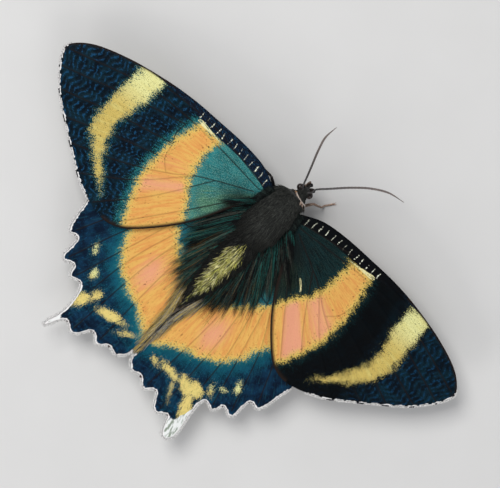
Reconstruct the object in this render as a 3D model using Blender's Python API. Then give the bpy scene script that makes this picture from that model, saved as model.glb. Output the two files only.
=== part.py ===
"""North Queensland day moth at life size: wings spread flat, standing on six feet.

The head looks along -Y, the moth's left is +X and the floor is z = 0.
Lengths are written in millimetres and turned into metres where a mesh is made.
"""
import math
import random

import bpy
from mathutils import Matrix, Vector
from mathutils.geometry import delaunay_2d_cdt

MM = 0.001
GAP = 0.32
SHARP_ANGLE = math.radians(40)
# Middle of the moth's box from above: the origin lies under it
MIDDLE_X = -0.3
MIDDLE_Y = 16.87

# Body sizes
HEAD_CENTRE = Vector((-1.2, -3.12, 8.65))
HEAD_RADII = Vector((1.3, 1.05, 1.45))
EYE_RADIUS = 0.68
EYE_OUT = 1.2
EYE_AHEAD = 0.15
# Each palp's direction from the head's middle, then two points that it passes
PALPS = {
    "left": ((0.05, -0.9, -0.36), (-1.65, -5.25, 8.4), (-2.2, -5.1, 8.95)),
    "right": ((-0.55, -0.7, -0.6), (-2.75, -4.5, 8.0), (-3.05, -4.2, 8.5)),
}
PALP_RADIUS = 0.27
# Tongue: a coil's inner radius, its pitch and turns, and the tube that it is coiled from
COIL_RADIUS = 0.45
COIL_PITCH = 0.85
COIL_TURNS = 1.55
COIL_STEPS = 26
TONGUE_RADIUS = 0.25
THORAX_HEIGHT = 8.8
BODY_SIDES = 24
# Stations of the thorax: place along the body, half width, half height
THORAX = ((-1.75, 2.05, 2.1), (-0.9, 2.95, 3.1), (0.5, 3.6, 4.0), (3.0, 4.1, 4.4),
          (6.0, 4.0, 4.3), (8.4, 3.4, 3.7), (10.0, 2.3, 2.7))
# The neck bends to the moth's right: place along the body, shift of its middle
NECK_BEND = ((-1.75, -0.9), (-0.9, -0.5), (0.3, 0.0))
# Stations of the abdomen: place along the body, half width, height of the middle
ABDOMEN = ((10.35, 2.1, 8.5), (11.4, 2.8, 8.45), (14.5, 3.0, 8.3), (18.5, 2.8, 8.1),
           (22.2, 2.35, 7.9), (25.2, 1.6, 7.8), (27.2, 0.8, 7.75))
ABDOMEN_FLATNESS = 0.95
# Rows of hair locks: place along the body, count, spread to each side in degrees, length
THORAX_LOCKS = ((-0.4, 5, 50, 2.6), (1.4, 5, 46, 3.0), (3.2, 6, 48, 3.2), (5.0, 5, 44, 3.4),
                (6.8, 6, 48, 3.6), (8.4, 5, 40, 3.9))
ABDOMEN_LOCKS = ((15.0, 4, 44, 3.0), (18.2, 4, 44, 3.0), (21.4, 3, 34, 3.4), (24.4, 3, 36, 3.9))
THORAX_LOCK_WIDTH = 1.35
ABDOMEN_LOCK_WIDTH = 1.15
LOCK_THICKNESS = 0.62
LOCK_SUNK = 0.45
LOCK_SIDES = 6

# Wing sizes
WING_THICKNESS = 0.5
VEIN_HEIGHT = 0.25
VEIN_HALF_WIDTH = 0.4
FOREWING_ROOT_HEIGHT = 9.75
HINDWING_BELOW_FOREWING = 1.3
FOREWING_SWING = math.radians(2.2)
WING_POINT_STEP = 1.6
VEIN_POINT_STEP = 3.2
MEMBRANE_POINT_STEP = 3.6

# Outline of the forewing from its front root to its back root: (out from the midline, back)
FOREWING = ((8.0, -1.5), (13.5, -2.1), (20.0, -2.1), (26.0, -1.9), (32.5, -1.1), (40.0, 0.6),
            (46.5, 3.0), (50.0, 5.9), (50.2, 8.0), (48.4, 11.0), (44.9, 14.8), (40.3, 18.2),
            (36.0, 21.3), (31.5, 24.3), (27.5, 26.0), (23.8, 26.8), (20.8, 26.2),
            (17.9, 24.3), (13.5, 19.6), (10.0, 14.6), (6.9, 8.6))
FOREWING_ROOT = (0.3, 4.6)

# Outline of the hindwing from its front root round its lobes to the tail, and from the tail
# to the inner margin
HINDWING_FRONT = ((8.0, 6.4), (14.0, 10.0), (20.0, 15.5), (25.0, 21.0), (26.8, 25.5), (26.4, 29.5),
                  (25.9, 32.4), (25.1, 33.9), (23.9, 33.6), (23.0, 34.0), (22.8, 36.2), (22.9, 37.9),
                  (22.1, 38.7), (20.9, 38.1), (19.9, 38.1), (19.5, 39.4), (18.9, 40.2), (17.6, 39.7),
                  (16.6, 39.8))
HINDWING_REAR = ((12.6, 47.3), (11.6, 48.0), (10.4, 47.6), (9.5, 46.2), (8.7, 45.0), (7.7, 45.1),
                 (6.5, 46.2), (5.4, 45.7), (4.4, 44.8), (3.3, 44.9), (2.2, 45.2), (1.2, 44.4),
                 (0.5, 43.2))
# The right tail lies flat and broad, the left one is rolled narrow
RIGHT_TAIL = ((16.2, 41.2), (16.5, 43.5), (17.0, 45.9), (17.4, 48.2), (17.2, 49.9), (16.3, 50.7),
              (15.2, 50.2), (14.3, 48.4), (13.6, 46.9))
LEFT_TAIL = ((15.7, 41.4), (15.3, 43.4), (15.2, 45.6), (15.5, 47.6), (16.1, 49.3), (16.2, 50.7),
             (15.5, 49.9), (14.9, 48.6), (14.3, 47.4), (13.5, 46.9))
HINDWING_ROOT = (5.1, 9.0)
INNER_MARGIN_REAR = ((0.25, 39.5), (0.22, 35.5), (0.4, 31.4))
BESIDE_ABDOMEN = (28.8, 26.0, 22.4, 18.5, 14.5, 11.4)

# Main veins as a few points each, from the root or a fork out to the margin
FOREWING_VEINS = (
    ((5.2, 1.4), (20.0, -0.7), (33.0, -0.1)),
    ((5.4, 2.4), (21.0, 1.4), (34.0, 2.2), (49.4, 6.8)),
    ((24.0, 2.6), (34.0, 5.4), (48.5, 10.2)),
    ((23.4, 7.0), (34.0, 9.8), (45.6, 13.6)),
    ((22.6, 10.0), (32.0, 13.2), (41.4, 16.9)),
    ((6.0, 3.4), (15.0, 8.0), (20.6, 12.0), (29.0, 16.6), (37.4, 19.9)),
    ((16.4, 9.0), (24.0, 17.0), (32.6, 23.2)),
    ((12.8, 6.9), (19.5, 17.0), (27.0, 25.6)),
    ((5.8, 4.6), (12.0, 13.4), (21.6, 26.0)),
    ((24.0, 2.6), (24.2, 5.0), (23.4, 7.0), (22.6, 10.0), (20.6, 12.0)),
)
HINDWING_VEINS = (
    ((5.6, 6.8), (15.0, 12.6), (25.8, 26.5)),
    ((13.0, 14.6), (19.0, 21.5), (24.4, 32.8)),
    ((12.6, 17.2), (17.4, 25.5), (21.8, 37.6)),
    ((5.4, 7.6), (11.0, 16.0), (14.8, 27.5), (18.3, 39.2)),
    ((9.6, 17.0), (13.2, 30.0), (15.0, 46.6)),
    ((7.6, 14.2), (10.2, 29.0), (11.5, 47.0)),
    ((5.2, 9.0), (6.6, 26.0), (6.4, 45.3)),
    ((13.0, 14.6), (12.6, 17.2), (9.6, 17.0), (7.6, 14.2)),
)

# Legs: side, root angle from straight down, place along the body, knee, ankle and toe
LEGS = {
    "leg_fore_left": (1, 40, 0.6, (5.0, -0.6, 6.1), (7.2, -0.2, 1.6), (9.6, 0.9)),
    "leg_fore_right": (-1, 34, 0.6, (4.5, -2.4, 6.0), (6.8, -2.6, 1.6), (8.2, -4.6)),
    "leg_mid_left": (1, 40, 3.4, (9.4, 2.6, 6.1), (12.8, 4.6, 1.6), (17.6, 7.6)),
    "leg_mid_right": (-1, 40, 3.4, (9.4, 2.6, 6.1), (12.8, 4.6, 1.6), (17.6, 7.6)),
    "leg_hind_left": (1, 34, 6.4, (7.6, 12.6, 5.5), (9.6, 20.4, 1.5), (11.6, 28.2)),
    "leg_hind_right": (-1, 34, 6.4, (7.6, 12.6, 5.5), (9.6, 20.4, 1.5), (11.6, 28.2)),
}
HIP_RADIUS = 0.72
THIGH_RADIUS = 0.6
KNEE_RADIUS = 0.4
ANKLE_RADIUS = 0.32
TARSUS_RADIUS = 0.29
LEG_SIDES = 8

# Feelers: the direction of each root from the head's middle, then points on the middle line
LEFT_FEELER_ROOT = (0.6, -0.4, 0.8)
RIGHT_FEELER_ROOT = (-0.42, -0.5, 0.75)
ANTENNA_LEFT = ((0.9, -6.0, 11.2), (2.1, -8.4, 13.4), (3.5, -11.1, 16.4),
                (4.7, -14.0, 19.4), (4.9, -16.9, 22.0))
ANTENNA_RIGHT = ((-2.2, -5.2, 10.9), (-3.8, -7.2, 11.8), (-6.3, -10.0, 12.1),
                 (-9.2, -12.5, 11.5), (-12.4, -14.3, 10.8), (-15.9, -15.0, 10.0))
ANTENNA_RADIUS = 0.27

BLACK_FUR = (0.012, 0.013, 0.016)
HORN = (0.05, 0.035, 0.03)
EYE_BROWN = (0.02, 0.012, 0.01)
WING_COLOUR = (0.012, 0.03, 0.05)


def clear_scene():
    for item in list(bpy.data.objects):
        bpy.data.objects.remove(item, do_unlink=True)


def finish_material(name, colour, roughness):
    material = bpy.data.materials.new(name)
    material.use_nodes = True
    shader = material.node_tree.nodes["Principled BSDF"]
    shader.inputs["Base Color"].default_value = (*colour, 1.0)
    shader.inputs["Roughness"].default_value = roughness
    shader.inputs["Metallic"].default_value = 0.0
    return material


def add_object(name, points, faces, colour, roughness):
    """Makes one object from points in millimetres, moved so that the box is centred."""
    mesh = bpy.data.meshes.new(name)
    place = Vector((MIDDLE_X, MIDDLE_Y, 0.0))
    mesh.from_pydata([(Vector(p) - place) * MM for p in points], [], faces)
    mesh.validate()
    item = bpy.data.objects.new(name, mesh)
    bpy.context.scene.collection.objects.link(item)
    mesh.materials.append(finish_material(name, colour, roughness))
    mesh.shade_smooth()
    mesh.set_sharp_from_angle(angle=SHARP_ANGLE)
    return item


def smooth_path(points, step):
    """Points about one step apart on a curve that passes through the given ones."""
    points = [Vector(p) for p in points]
    result = []
    for i in range(len(points) - 1):
        b, c = points[i], points[i + 1]
        a = points[i - 1] if i else b * 2 - c
        d = points[i + 2] if i + 2 < len(points) else c * 2 - b
        pieces = max(1, round((c - b).length / step))
        for k in range(pieces):
            t = k / pieces
            result.append(0.5 * (b * 2 + (c - a) * t + (a * 2 - b * 5 + c * 4 - d) * t * t
                                 + (b * 3 - a - c * 3 + d) * t ** 3))
    result.append(points[-1])
    return result


def between(value, table, column):
    """Reads one column of a table of stations at a place between them."""
    if value <= table[0][0]:
        return table[0][column]
    for low, high in zip(table, table[1:]):
        if value <= high[0]:
            share = (value - low[0]) / (high[0] - low[0])
            return low[column] + share * (high[column] - low[column])
    return table[-1][column]


def thorax_side(y, z):
    """Half width of the thorax at one place and height."""
    half_height = between(y, THORAX, 2)
    up = (z - THORAX_HEIGHT) / half_height
    return between(y, THORAX, 1) * math.sqrt(max(0.0, 1.0 - up * up))


def wing_height(x, y):
    """Height of the forewings' middle surface above the floor, a low arch from side to side."""
    x = abs(x)
    ripple = 0.12 * math.sin(x * 0.42 + y * 0.25) * min(1.0, x / 20.0)
    return FOREWING_ROOT_HEIGHT - 0.028 * x - 0.0006 * x * x - 0.03 * y + ripple


def closed_loft(rings):
    """Joins rings of points into one closed skin with a fan on each end."""
    sides = len(rings[0])
    points = [p for ring in rings for p in ring]
    faces = []
    for i in range(len(rings) - 1):
        for k in range(sides):
            a, b = i * sides + k, i * sides + (k + 1) % sides
            faces.append((a, b, b + sides, a + sides))
    first = len(points)
    points += [sum(rings[0], Vector()) / sides, sum(rings[-1], Vector()) / sides]
    last = (len(rings) - 1) * sides
    for k in range(sides):
        faces.append((first, (k + 1) % sides, k))
        faces.append((first + 1, last + k, last + (k + 1) % sides))
    return points, faces


def oval_ring(centre, across, up, half_width, half_height, sides, turn=0.0):
    ring = []
    for k in range(sides):
        angle = math.tau * (k + turn) / sides
        ring.append(centre + across * (half_width * math.cos(angle))
                    + up * (half_height * math.sin(angle)))
    return ring


def tube(path, radii, sides):
    """A closed tube along a path, with a flat side down where the path is level."""
    rings = []
    for i, point in enumerate(path):
        along = (path[min(i + 1, len(path) - 1)] - path[max(i - 1, 0)]).normalized()
        across = along.cross(Vector((0, 0, 1)))
        if across.length < 0.05:
            across = Vector((0, 1, 0)).cross(along)
        across.normalize()
        up = across.cross(along).normalized()
        rings.append(oval_ring(point, up, across, radii[i], radii[i], sides, 0.5))
    return closed_loft(rings)


def ball(centre, radii, sides, rows):
    rings = []
    for i in range(1, rows):
        angle = math.pi * i / rows
        middle = centre + Vector((0, -radii.y * math.cos(angle), 0))
        rings.append(oval_ring(middle, Vector((-1, 0, 0)), Vector((0, 0, 1)),
                               radii.x * math.sin(angle), radii.z * math.sin(angle), sides))
    points, faces = closed_loft(rings)
    points[-2] = centre - Vector((0, radii.y, 0))
    points[-1] = centre + Vector((0, radii.y, 0))
    return points, faces


def lock(root, direction, length, width, thickness, droop):
    """One flat, tapered lock of hair that bends down along its lie."""
    direction = direction.normalized()
    across = direction.cross(Vector((0, 0, 1))).normalized()
    shares = (0.0, 0.3, 0.62, 0.88, 1.0)
    widths = (0.75, 1.0, 0.85, 0.5, 0.16)
    rings = []
    for share, wide in zip(shares, widths):
        middle = root + direction * (length * share)
        middle -= Vector((0, 0, droop * share * share))
        up = across.cross(direction)
        rings.append(oval_ring(middle, up, across, thickness * (1.1 - 0.6 * share) / 2,
                               width * wide / 2, LOCK_SIDES))
    return closed_loft(rings)


def unite(name, pieces, colour, roughness):
    """Joins closed pieces into one solid by a single union on a collection."""
    body = add_object(name, *pieces[0], colour, roughness)
    group = bpy.data.collections.new(name + " pieces")
    bpy.context.scene.collection.children.link(group)
    for number, piece in enumerate(pieces[1:]):
        part = add_object(f"{name} piece {number}", *piece, colour, roughness)
        group.objects.link(part)
        bpy.context.scene.collection.objects.unlink(part)
    union = body.modifiers.new("union", "BOOLEAN")
    union.operation = "UNION"
    union.operand_type = "COLLECTION"
    union.collection = group
    settle(body)
    for part in list(group.objects):
        bpy.data.objects.remove(part, do_unlink=True)
    bpy.data.collections.remove(group)
    keep_largest(body)


def settle(item):
    """Turns an object's modifiers into its mesh."""
    bpy.context.view_layer.update()
    graph = bpy.context.evaluated_depsgraph_get()
    mesh = bpy.data.meshes.new_from_object(item.evaluated_get(graph))
    item.modifiers.clear()
    item.data = mesh


def keep_largest(item):
    """Keeps only the largest closed surface of a mesh."""
    mesh = item.data
    owner = list(range(len(mesh.vertices)))

    def top(i):
        while owner[i] != i:
            owner[i] = owner[owner[i]]
            i = owner[i]
        return i

    for edge in mesh.edges:
        a, b = top(edge.vertices[0]), top(edge.vertices[1])
        owner[a] = b
    reach = {}
    for vertex in mesh.vertices:
        low, high = reach.setdefault(top(vertex.index), (vertex.co.copy(), vertex.co.copy()))
        for axis in range(3):
            low[axis] = min(low[axis], vertex.co[axis])
            high[axis] = max(high[axis], vertex.co[axis])
    largest = max(reach, key=lambda key: (reach[key][1] - reach[key][0]).length)
    if len(reach) == 1:
        return
    kept = [v.index for v in mesh.vertices if top(v.index) == largest]
    number = {old: new for new, old in enumerate(kept)}
    faces = [tuple(number[i] for i in f.vertices) for f in mesh.polygons
             if f.vertices[0] in number]
    fresh = bpy.data.meshes.new(item.name)
    fresh.from_pydata([mesh.vertices[i].co.copy() for i in kept], [], faces)
    fresh.materials.append(mesh.materials[0])
    item.data = fresh


def vein_distance(point, veins):
    """Distance from a point to the nearest vein line."""
    best = 1e9
    for path in veins:
        for a, b in zip(path, path[1:]):
            along = b - a
            share = max(0.0, min(1.0, (point - a).dot(along) / along.length_squared))
            best = min(best, (point - a - along * share).length)
    return best


def inside(point, outline):
    """Says whether a point lies inside a closed outline."""
    crossings = False
    for a, b in zip(outline, outline[1:] + outline[:1]):
        if (a.y > point.y) != (b.y > point.y):
            if point.x < a.x + (point.y - a.y) / (b.y - a.y) * (b.x - a.x):
                crossings = not crossings
    return crossings


def wing_plate(outline, vein_points):
    """Splits a wing's outline into triangles whose edges follow its veins."""
    veins = [smooth_path([(x, y, 0.0) for x, y in vein], VEIN_POINT_STEP)
             for vein in vein_points]
    veins = [[Vector(p.xy) for p in vein] for vein in veins]
    points = list(outline)
    edges = []
    for vein in veins:
        for offset in (-1, 0, 1):
            start = len(points)
            for i, point in enumerate(vein):
                along = vein[min(i + 1, len(vein) - 1)] - vein[max(i - 1, 0)]
                side = Vector((-along.y, along.x)).normalized()
                taper = 0.35 + 0.65 * (1 - i / (len(vein) - 1))
                points.append(point + side * (offset * VEIN_HALF_WIDTH * taper))
            edges += [(k, k + 1) for k in range(start, len(points) - 1)]
    low_x, high_x = min(p.x for p in outline), max(p.x for p in outline)
    low_y, high_y = min(p.y for p in outline), max(p.y for p in outline)
    rows = int((high_y - low_y) / (MEMBRANE_POINT_STEP * 0.866))
    for row in range(1, rows + 1):
        y = low_y + row * MEMBRANE_POINT_STEP * 0.866
        x = low_x + (row % 2) * MEMBRANE_POINT_STEP / 2
        while x < high_x:
            spot = Vector((x, y))
            clear = min((spot - p).length for p in outline) > MEMBRANE_POINT_STEP * 0.5
            if clear and inside(spot, outline):
                if vein_distance(spot, veins) > MEMBRANE_POINT_STEP * 0.42:
                    points.append(spot)
            x += MEMBRANE_POINT_STEP
    loop = list(range(len(outline)))
    flat, _, triangles, *_ = delaunay_2d_cdt(points, edges, [loop], 1, 1e-4)
    return flat, triangles, veins


def add_wing(name, side, outline, vein_points, swing, lower):
    """Makes one wing: a thin arched plate whose veins stand up as ridges."""
    flat, triangles, veins = wing_plate(outline, vein_points)
    pivot = outline[0]
    top, bottom = [], []
    for point in flat:
        ridge = max(0.0, 1.0 - vein_distance(point, veins) / VEIN_HALF_WIDTH)
        turned = point - pivot
        turned.rotate(Matrix.Rotation(swing, 2))
        placed = pivot + turned
        x = placed.x * side
        height = wing_height(placed.x, placed.y) - lower
        top.append((x, placed.y, height + WING_THICKNESS / 2 + VEIN_HEIGHT * ridge))
        bottom.append((x, placed.y, height - WING_THICKNESS / 2))
    count = len(flat)
    faces = []
    uses = {}
    for a, b, c in triangles:
        area = (flat[b] - flat[a]).cross(flat[c] - flat[a])
        if (area > 0) != (side > 0):
            b, c = c, b
        faces.append((a, b, c))
        faces.append((a + count, c + count, b + count))
        for edge in ((a, b), (b, c), (c, a)):
            uses[edge] = uses.get(edge, 0) + 1
    for a, b in list(uses):
        if (b, a) not in uses:
            faces.append((b, a, a + count))
            faces.append((b, a + count, b + count))
    return add_object(name, top + bottom, faces, WING_COLOUR, 0.45)


def forewing_outline():
    """Forewing margin, whose root edge stands one gap off the thorax."""
    front, back = FOREWING_ROOT
    root = [Vector((thorax_side(y, FOREWING_ROOT_HEIGHT) + GAP, y))
            for y in (back, (front + back) / 2, front)]
    margin = [Vector((root[-1].x, front, 0)), *FOREWING, Vector((root[0].x, back, 0))]
    margin = smooth_path([(p[0], p[1], 0.0) for p in margin], WING_POINT_STEP)
    return [Vector(p.xy) for p in margin[:-1]] + root[:2]


def hindwing_outline(tail):
    """Hindwing margin, whose inner edge follows the thorax and the abdomen one gap off."""
    front, back = HINDWING_ROOT
    height = FOREWING_ROOT_HEIGHT - HINDWING_BELOW_FOREWING
    root = [Vector((thorax_side(y, height) + GAP, y)) for y in (back, (front + back) / 2, front)]
    beside = [Vector((between(y, ABDOMEN, 1) + GAP + 0.1, y)) for y in BESIDE_ABDOMEN]
    inner = [Vector(p) for p in INNER_MARGIN_REAR]
    margin = [(root[-1].x, front, 0.0)]
    margin += [(x, y, 0.0) for x, y in HINDWING_FRONT + tail + HINDWING_REAR]
    margin += [(p.x, p.y, 0.0) for p in inner + beside]
    margin = smooth_path(margin, WING_POINT_STEP)
    return [Vector(p.xy) for p in margin] + root[:2]


def add_wings():
    fore = forewing_outline()
    for side, word, tail in ((1, "left", LEFT_TAIL), (-1, "right", RIGHT_TAIL)):
        hind = hindwing_outline(tail)
        add_wing("forewing_" + word, side, fore, FOREWING_VEINS, FOREWING_SWING * side, 0.0)
        add_wing("hindwing_" + word, side, hind, HINDWING_VEINS, 0.0, HINDWING_BELOW_FOREWING)


def aside(y):
    """How far the body's middle lies to one side where the neck bends."""
    return between(y, NECK_BEND, 1)


def body_loft(stations):
    """Lofts oval rings given as place along the body, half width, half height and height."""
    rings = [oval_ring(Vector((aside(y), y, height)), Vector((-1, 0, 0)), Vector((0, 0, 1)),
                       half_width, half_height, BODY_SIDES)
             for y, half_width, half_height, height in stations]
    return closed_loft(rings)


def thorax_lock(y, turn, length, rng):
    """A lock rooted in the back of the thorax, lying backwards and outwards."""
    angle = math.radians(turn)
    half_width, half_height = between(y, THORAX, 1), between(y, THORAX, 2)
    outward = Vector((math.sin(angle), 0, math.cos(angle)))
    root = Vector((half_width * outward.x + aside(y), y, THORAX_HEIGHT + half_height * outward.z))
    lie = Vector((0.45 * outward.x + rng.uniform(-0.12, 0.12), 1.0, 0.2 * outward.z + 0.06))
    root -= outward * LOCK_SUNK + lie.normalized() * LOCK_SUNK
    return lock(root, lie, length * rng.uniform(0.9, 1.15), THORAX_LOCK_WIDTH * rng.uniform(0.9, 1.15),
                LOCK_THICKNESS, 0.12 * length)


def add_thorax():
    rng = random.Random(11)
    pieces = [body_loft([(*station, THORAX_HEIGHT) for station in THORAX])]
    for y, count, spread, length in THORAX_LOCKS:
        for k in range(count):
            turn = spread * (2 * k / (count - 1) - 1)
            pieces.append(thorax_lock(y + rng.uniform(-0.2, 0.2), turn, length, rng))
    unite("thorax", pieces, BLACK_FUR, 0.85)


def add_abdomen():
    rng = random.Random(12)
    pieces = [body_loft([(y, wide, wide * ABDOMEN_FLATNESS, height) for y, wide, height in ABDOMEN])]
    for y, count, spread, length in ABDOMEN_LOCKS:
        for k in range(count):
            angle = math.radians(spread * (2 * k / (count - 1) - 1))
            half = between(y, ABDOMEN, 1)
            outward = Vector((math.sin(angle), 0, math.cos(angle)))
            root = Vector((0, y, between(y, ABDOMEN, 2)))
            root += outward * (half * ABDOMEN_FLATNESS - LOCK_SUNK)
            lie = Vector((0.12 * outward.x, 1.0, 0.12))
            pieces.append(lock(root, lie, length * rng.uniform(0.9, 1.1), ABDOMEN_LOCK_WIDTH,
                               LOCK_THICKNESS, 0.1))
    unite("abdomen", pieces, BLACK_FUR, 0.8)


def on_head(direction, gap=0.0):
    """A point on the head in one direction from its middle, and the surface's own normal."""
    direction = Vector(direction).normalized()
    point = Vector([r * d for r, d in zip(HEAD_RADII, direction)])
    normal = Vector([p / (r * r) for r, p in zip(HEAD_RADII, point)]).normalized()
    return HEAD_CENTRE + point + normal * gap, normal


def add_head():
    """Head with a socket cut for each eye, the eyes, and the two palps in front of the face."""
    head = add_object("head", *ball(HEAD_CENTRE, HEAD_RADII, 20, 12), BLACK_FUR, 0.8)
    for side, word in ((1, "left"), (-1, "right")):
        middle = HEAD_CENTRE + Vector((EYE_OUT * side, -EYE_AHEAD, 0))
        socket_size = Vector((1, 1, 1)) * (EYE_RADIUS + GAP)
        socket = add_object("socket", *ball(middle, socket_size, 16, 10), BLACK_FUR, 0.8)
        socket.hide_render = True
        socket.display_type = "WIRE"
        cut = head.modifiers.new("socket", "BOOLEAN")
        cut.operation = "DIFFERENCE"
        cut.object = socket
        settle(head)
        bpy.data.objects.remove(socket, do_unlink=True)
        eye_size = Vector((1, 1, 1)) * EYE_RADIUS
        add_object("eye_" + word, *ball(middle, eye_size, 14, 9), EYE_BROWN, 0.15)
        root, *tip = PALPS[word]
        start, normal = on_head(root, GAP)
        path = smooth_path([start, start + normal * 0.6 + Vector((0, 0, 0.2)), *tip], 0.5)
        radii = [PALP_RADIUS + 0.08 * math.sin(math.pi * i / len(path)) for i in range(len(path))]
        radii[-2:] = [PALP_RADIUS * 0.7, PALP_RADIUS * 0.35]
        add_object("palp_" + word, *tube(path, radii, 8), BLACK_FUR, 0.8)
    add_proboscis()


def add_proboscis():
    """The coiled tongue under the face, a flat spiral of one and a half turns."""
    start, _ = on_head((0.0, -0.45, -0.9), 0.05)
    drop = COIL_RADIUS + COIL_PITCH * COIL_TURNS + TONGUE_RADIUS + GAP
    middle = Vector((start.x, start.y - 0.3, start.z - drop))
    path = []
    for i in range(COIL_STEPS + 1):
        angle = math.tau * COIL_TURNS * i / COIL_STEPS - 0.3
        reach = COIL_RADIUS + COIL_PITCH * COIL_TURNS * i / COIL_STEPS
        path.append(middle + Vector((0, math.sin(angle), math.cos(angle))) * reach)
    radii = [TONGUE_RADIUS * 0.56] + [TONGUE_RADIUS] * COIL_STEPS
    add_object("proboscis", *tube_across(path, radii), HORN, 0.4)


def tube_across(path, radii):
    """A tube whose path stays in one upright plane along the body."""
    rings = []
    for i, point in enumerate(path):
        along = (path[min(i + 1, len(path) - 1)] - path[max(i - 1, 0)]).normalized()
        across = Vector((1, 0, 0))
        rings.append(oval_ring(point, along.cross(across), across, radii[i], radii[i], 8, 0.5))
    points, faces = closed_loft(rings)
    return points, [tuple(reversed(face)) for face in faces]


def add_antenna(name, root, points):
    """One thin feeler that tapers to its tip."""
    start, normal = on_head(root, GAP)
    path = smooth_path([start, start + normal * 0.5, *points], 1.0)
    last = len(path) - 1
    radii = [ANTENNA_RADIUS * (0.9 + 0.35 * math.sin(math.pi * min(1, i / last * 1.2)))
             for i in range(last + 1)]
    radii[-2:] = [ANTENNA_RADIUS * 0.6, ANTENNA_RADIUS * 0.35]
    add_object(name, *tube(path, radii, 8), HORN, 0.5)


def add_leg(name, side, turn, y, knee, ankle, toe):
    """One leg as a bent tube: hip and thigh, shin, and a foot that lies flat on the floor."""
    angle = math.radians(turn)
    half_width, half_height = between(y, THORAX, 1), between(y, THORAX, 2)
    outward = Vector((math.sin(angle) / half_width, 0, -math.cos(angle) / half_height)).normalized()
    root = Vector((half_width * math.sin(angle), y, THORAX_HEIGHT - half_height * math.cos(angle)))
    root += outward * (GAP + 0.06)
    hip = root + outward * 0.9
    knee, ankle = Vector(knee), Vector(ankle)
    sole = TARSUS_RADIUS * math.cos(math.pi / LEG_SIDES)
    toe = Vector((toe[0], toe[1], sole))
    heel = ankle + (toe - ankle) * 0.22
    heel.z = sole
    path, radii = [root], [HIP_RADIUS]

    def stretch(start, end, steps, thick, thin):
        for i in range(1, steps + 1):
            share = i / steps
            path.append(start.lerp(end, share))
            radii.append(thick + (thin - thick) * share)

    stretch(root, hip, 1, HIP_RADIUS, HIP_RADIUS)
    stretch(hip, knee, 3, THIGH_RADIUS, KNEE_RADIUS)
    stretch(knee, ankle, 3, KNEE_RADIUS, ANKLE_RADIUS)
    stretch(ankle, heel, 2, ANKLE_RADIUS, TARSUS_RADIUS)
    stretch(heel, toe, 4, TARSUS_RADIUS, TARSUS_RADIUS)
    path = [Vector((p.x * side, p.y, p.z)) for p in path]
    add_object(name, *tube(path, radii, LEG_SIDES), HORN, 0.5)


def build():
    clear_scene()
    add_thorax()
    add_abdomen()
    add_head()
    add_antenna("antenna_left", LEFT_FEELER_ROOT, ANTENNA_LEFT)
    add_antenna("antenna_right", RIGHT_FEELER_ROOT, ANTENNA_RIGHT)
    for name, (side, turn, y, knee, ankle, toe) in LEGS.items():
        add_leg(name, side, turn, y, knee, ankle, toe)
    add_wings()


build()
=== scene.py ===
"""Looks of the North Queensland day moth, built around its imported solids.

Lengths inside the helpers are millimetres on the moth's own axes: out from the midline,
back from the forewing roots, up from the floor. The finished meshes are in metres.
"""
import math

import bpy
import numpy as np
from bpy.props import FloatProperty, FloatVectorProperty, PointerProperty
from mathutils import Matrix, Vector
from mathutils.geometry import delaunay_2d_cdt


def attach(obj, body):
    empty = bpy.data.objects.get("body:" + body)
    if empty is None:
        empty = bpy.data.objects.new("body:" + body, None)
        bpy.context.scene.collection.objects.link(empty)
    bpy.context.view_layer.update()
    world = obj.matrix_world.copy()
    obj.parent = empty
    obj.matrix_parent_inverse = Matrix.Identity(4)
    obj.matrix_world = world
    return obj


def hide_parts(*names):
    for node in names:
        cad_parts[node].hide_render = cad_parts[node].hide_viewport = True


bl_info = {
    "name": "Day Moth",
    "version": (1, 0, 0),
    "blender": (4, 5, 0),
    "location": "View3D > Sidebar > Moth",
    "description": "Dresses the solids of a large day-flying moth in wings, scales and hair",
    "category": "Object",
}

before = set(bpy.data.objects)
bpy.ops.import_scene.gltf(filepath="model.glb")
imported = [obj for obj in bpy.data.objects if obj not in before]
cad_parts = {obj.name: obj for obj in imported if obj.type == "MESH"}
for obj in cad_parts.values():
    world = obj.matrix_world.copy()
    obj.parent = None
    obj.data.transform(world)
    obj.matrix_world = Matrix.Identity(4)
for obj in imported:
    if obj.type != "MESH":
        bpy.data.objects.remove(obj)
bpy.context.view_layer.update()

MM = 0.001
SIDES = {"left": 1, "right": -1}
UP = np.array((0.0, 0.0, 1.0))
# Kind and field of a mesh attribute for one number, three or four on each point
MARK_KINDS = {(): ("FLOAT", "value"), (3,): ("FLOAT_VECTOR", "vector"), (4,): ("FLOAT_COLOR", "color")}
# Place of the solids' box middle on the moth's own axes
MIDDLE = np.array((-0.3, 16.87, 0.0))

# Body, as in the solids
HEAD_CENTRE = np.array((-1.2, -3.12, 8.65))
HEAD_RADII = np.array((1.3, 1.05, 1.45))
EYE_RADIUS = 0.68
EYE_OUT = 1.2
EYE_AHEAD = 0.15
# Palps: kept share of the length in the solids, direction of the root, points on the middle line
PALPS = {
    "left": (0.64, (0.05, -0.9, -0.36), (-1.65, -5.25, 8.4), (-2.2, -5.1, 8.95)),
    "right": (0.76, (-0.55, -0.7, -0.6), (-2.75, -4.5, 8.0), (-3.05, -4.2, 8.5)),
}
THORAX_HEIGHT = 8.8
THORAX = ((-1.75, 2.05, 2.1), (-0.9, 2.95, 3.1), (0.5, 3.6, 4.0), (3.0, 4.1, 4.4),
          (6.0, 4.0, 4.3), (8.4, 3.4, 3.7), (10.0, 2.3, 2.7))
ABDOMEN = ((10.35, 2.1), (11.4, 2.8), (14.5, 3.0), (18.5, 2.8), (22.2, 2.35), (25.2, 1.6), (27.2, 0.8))

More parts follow.
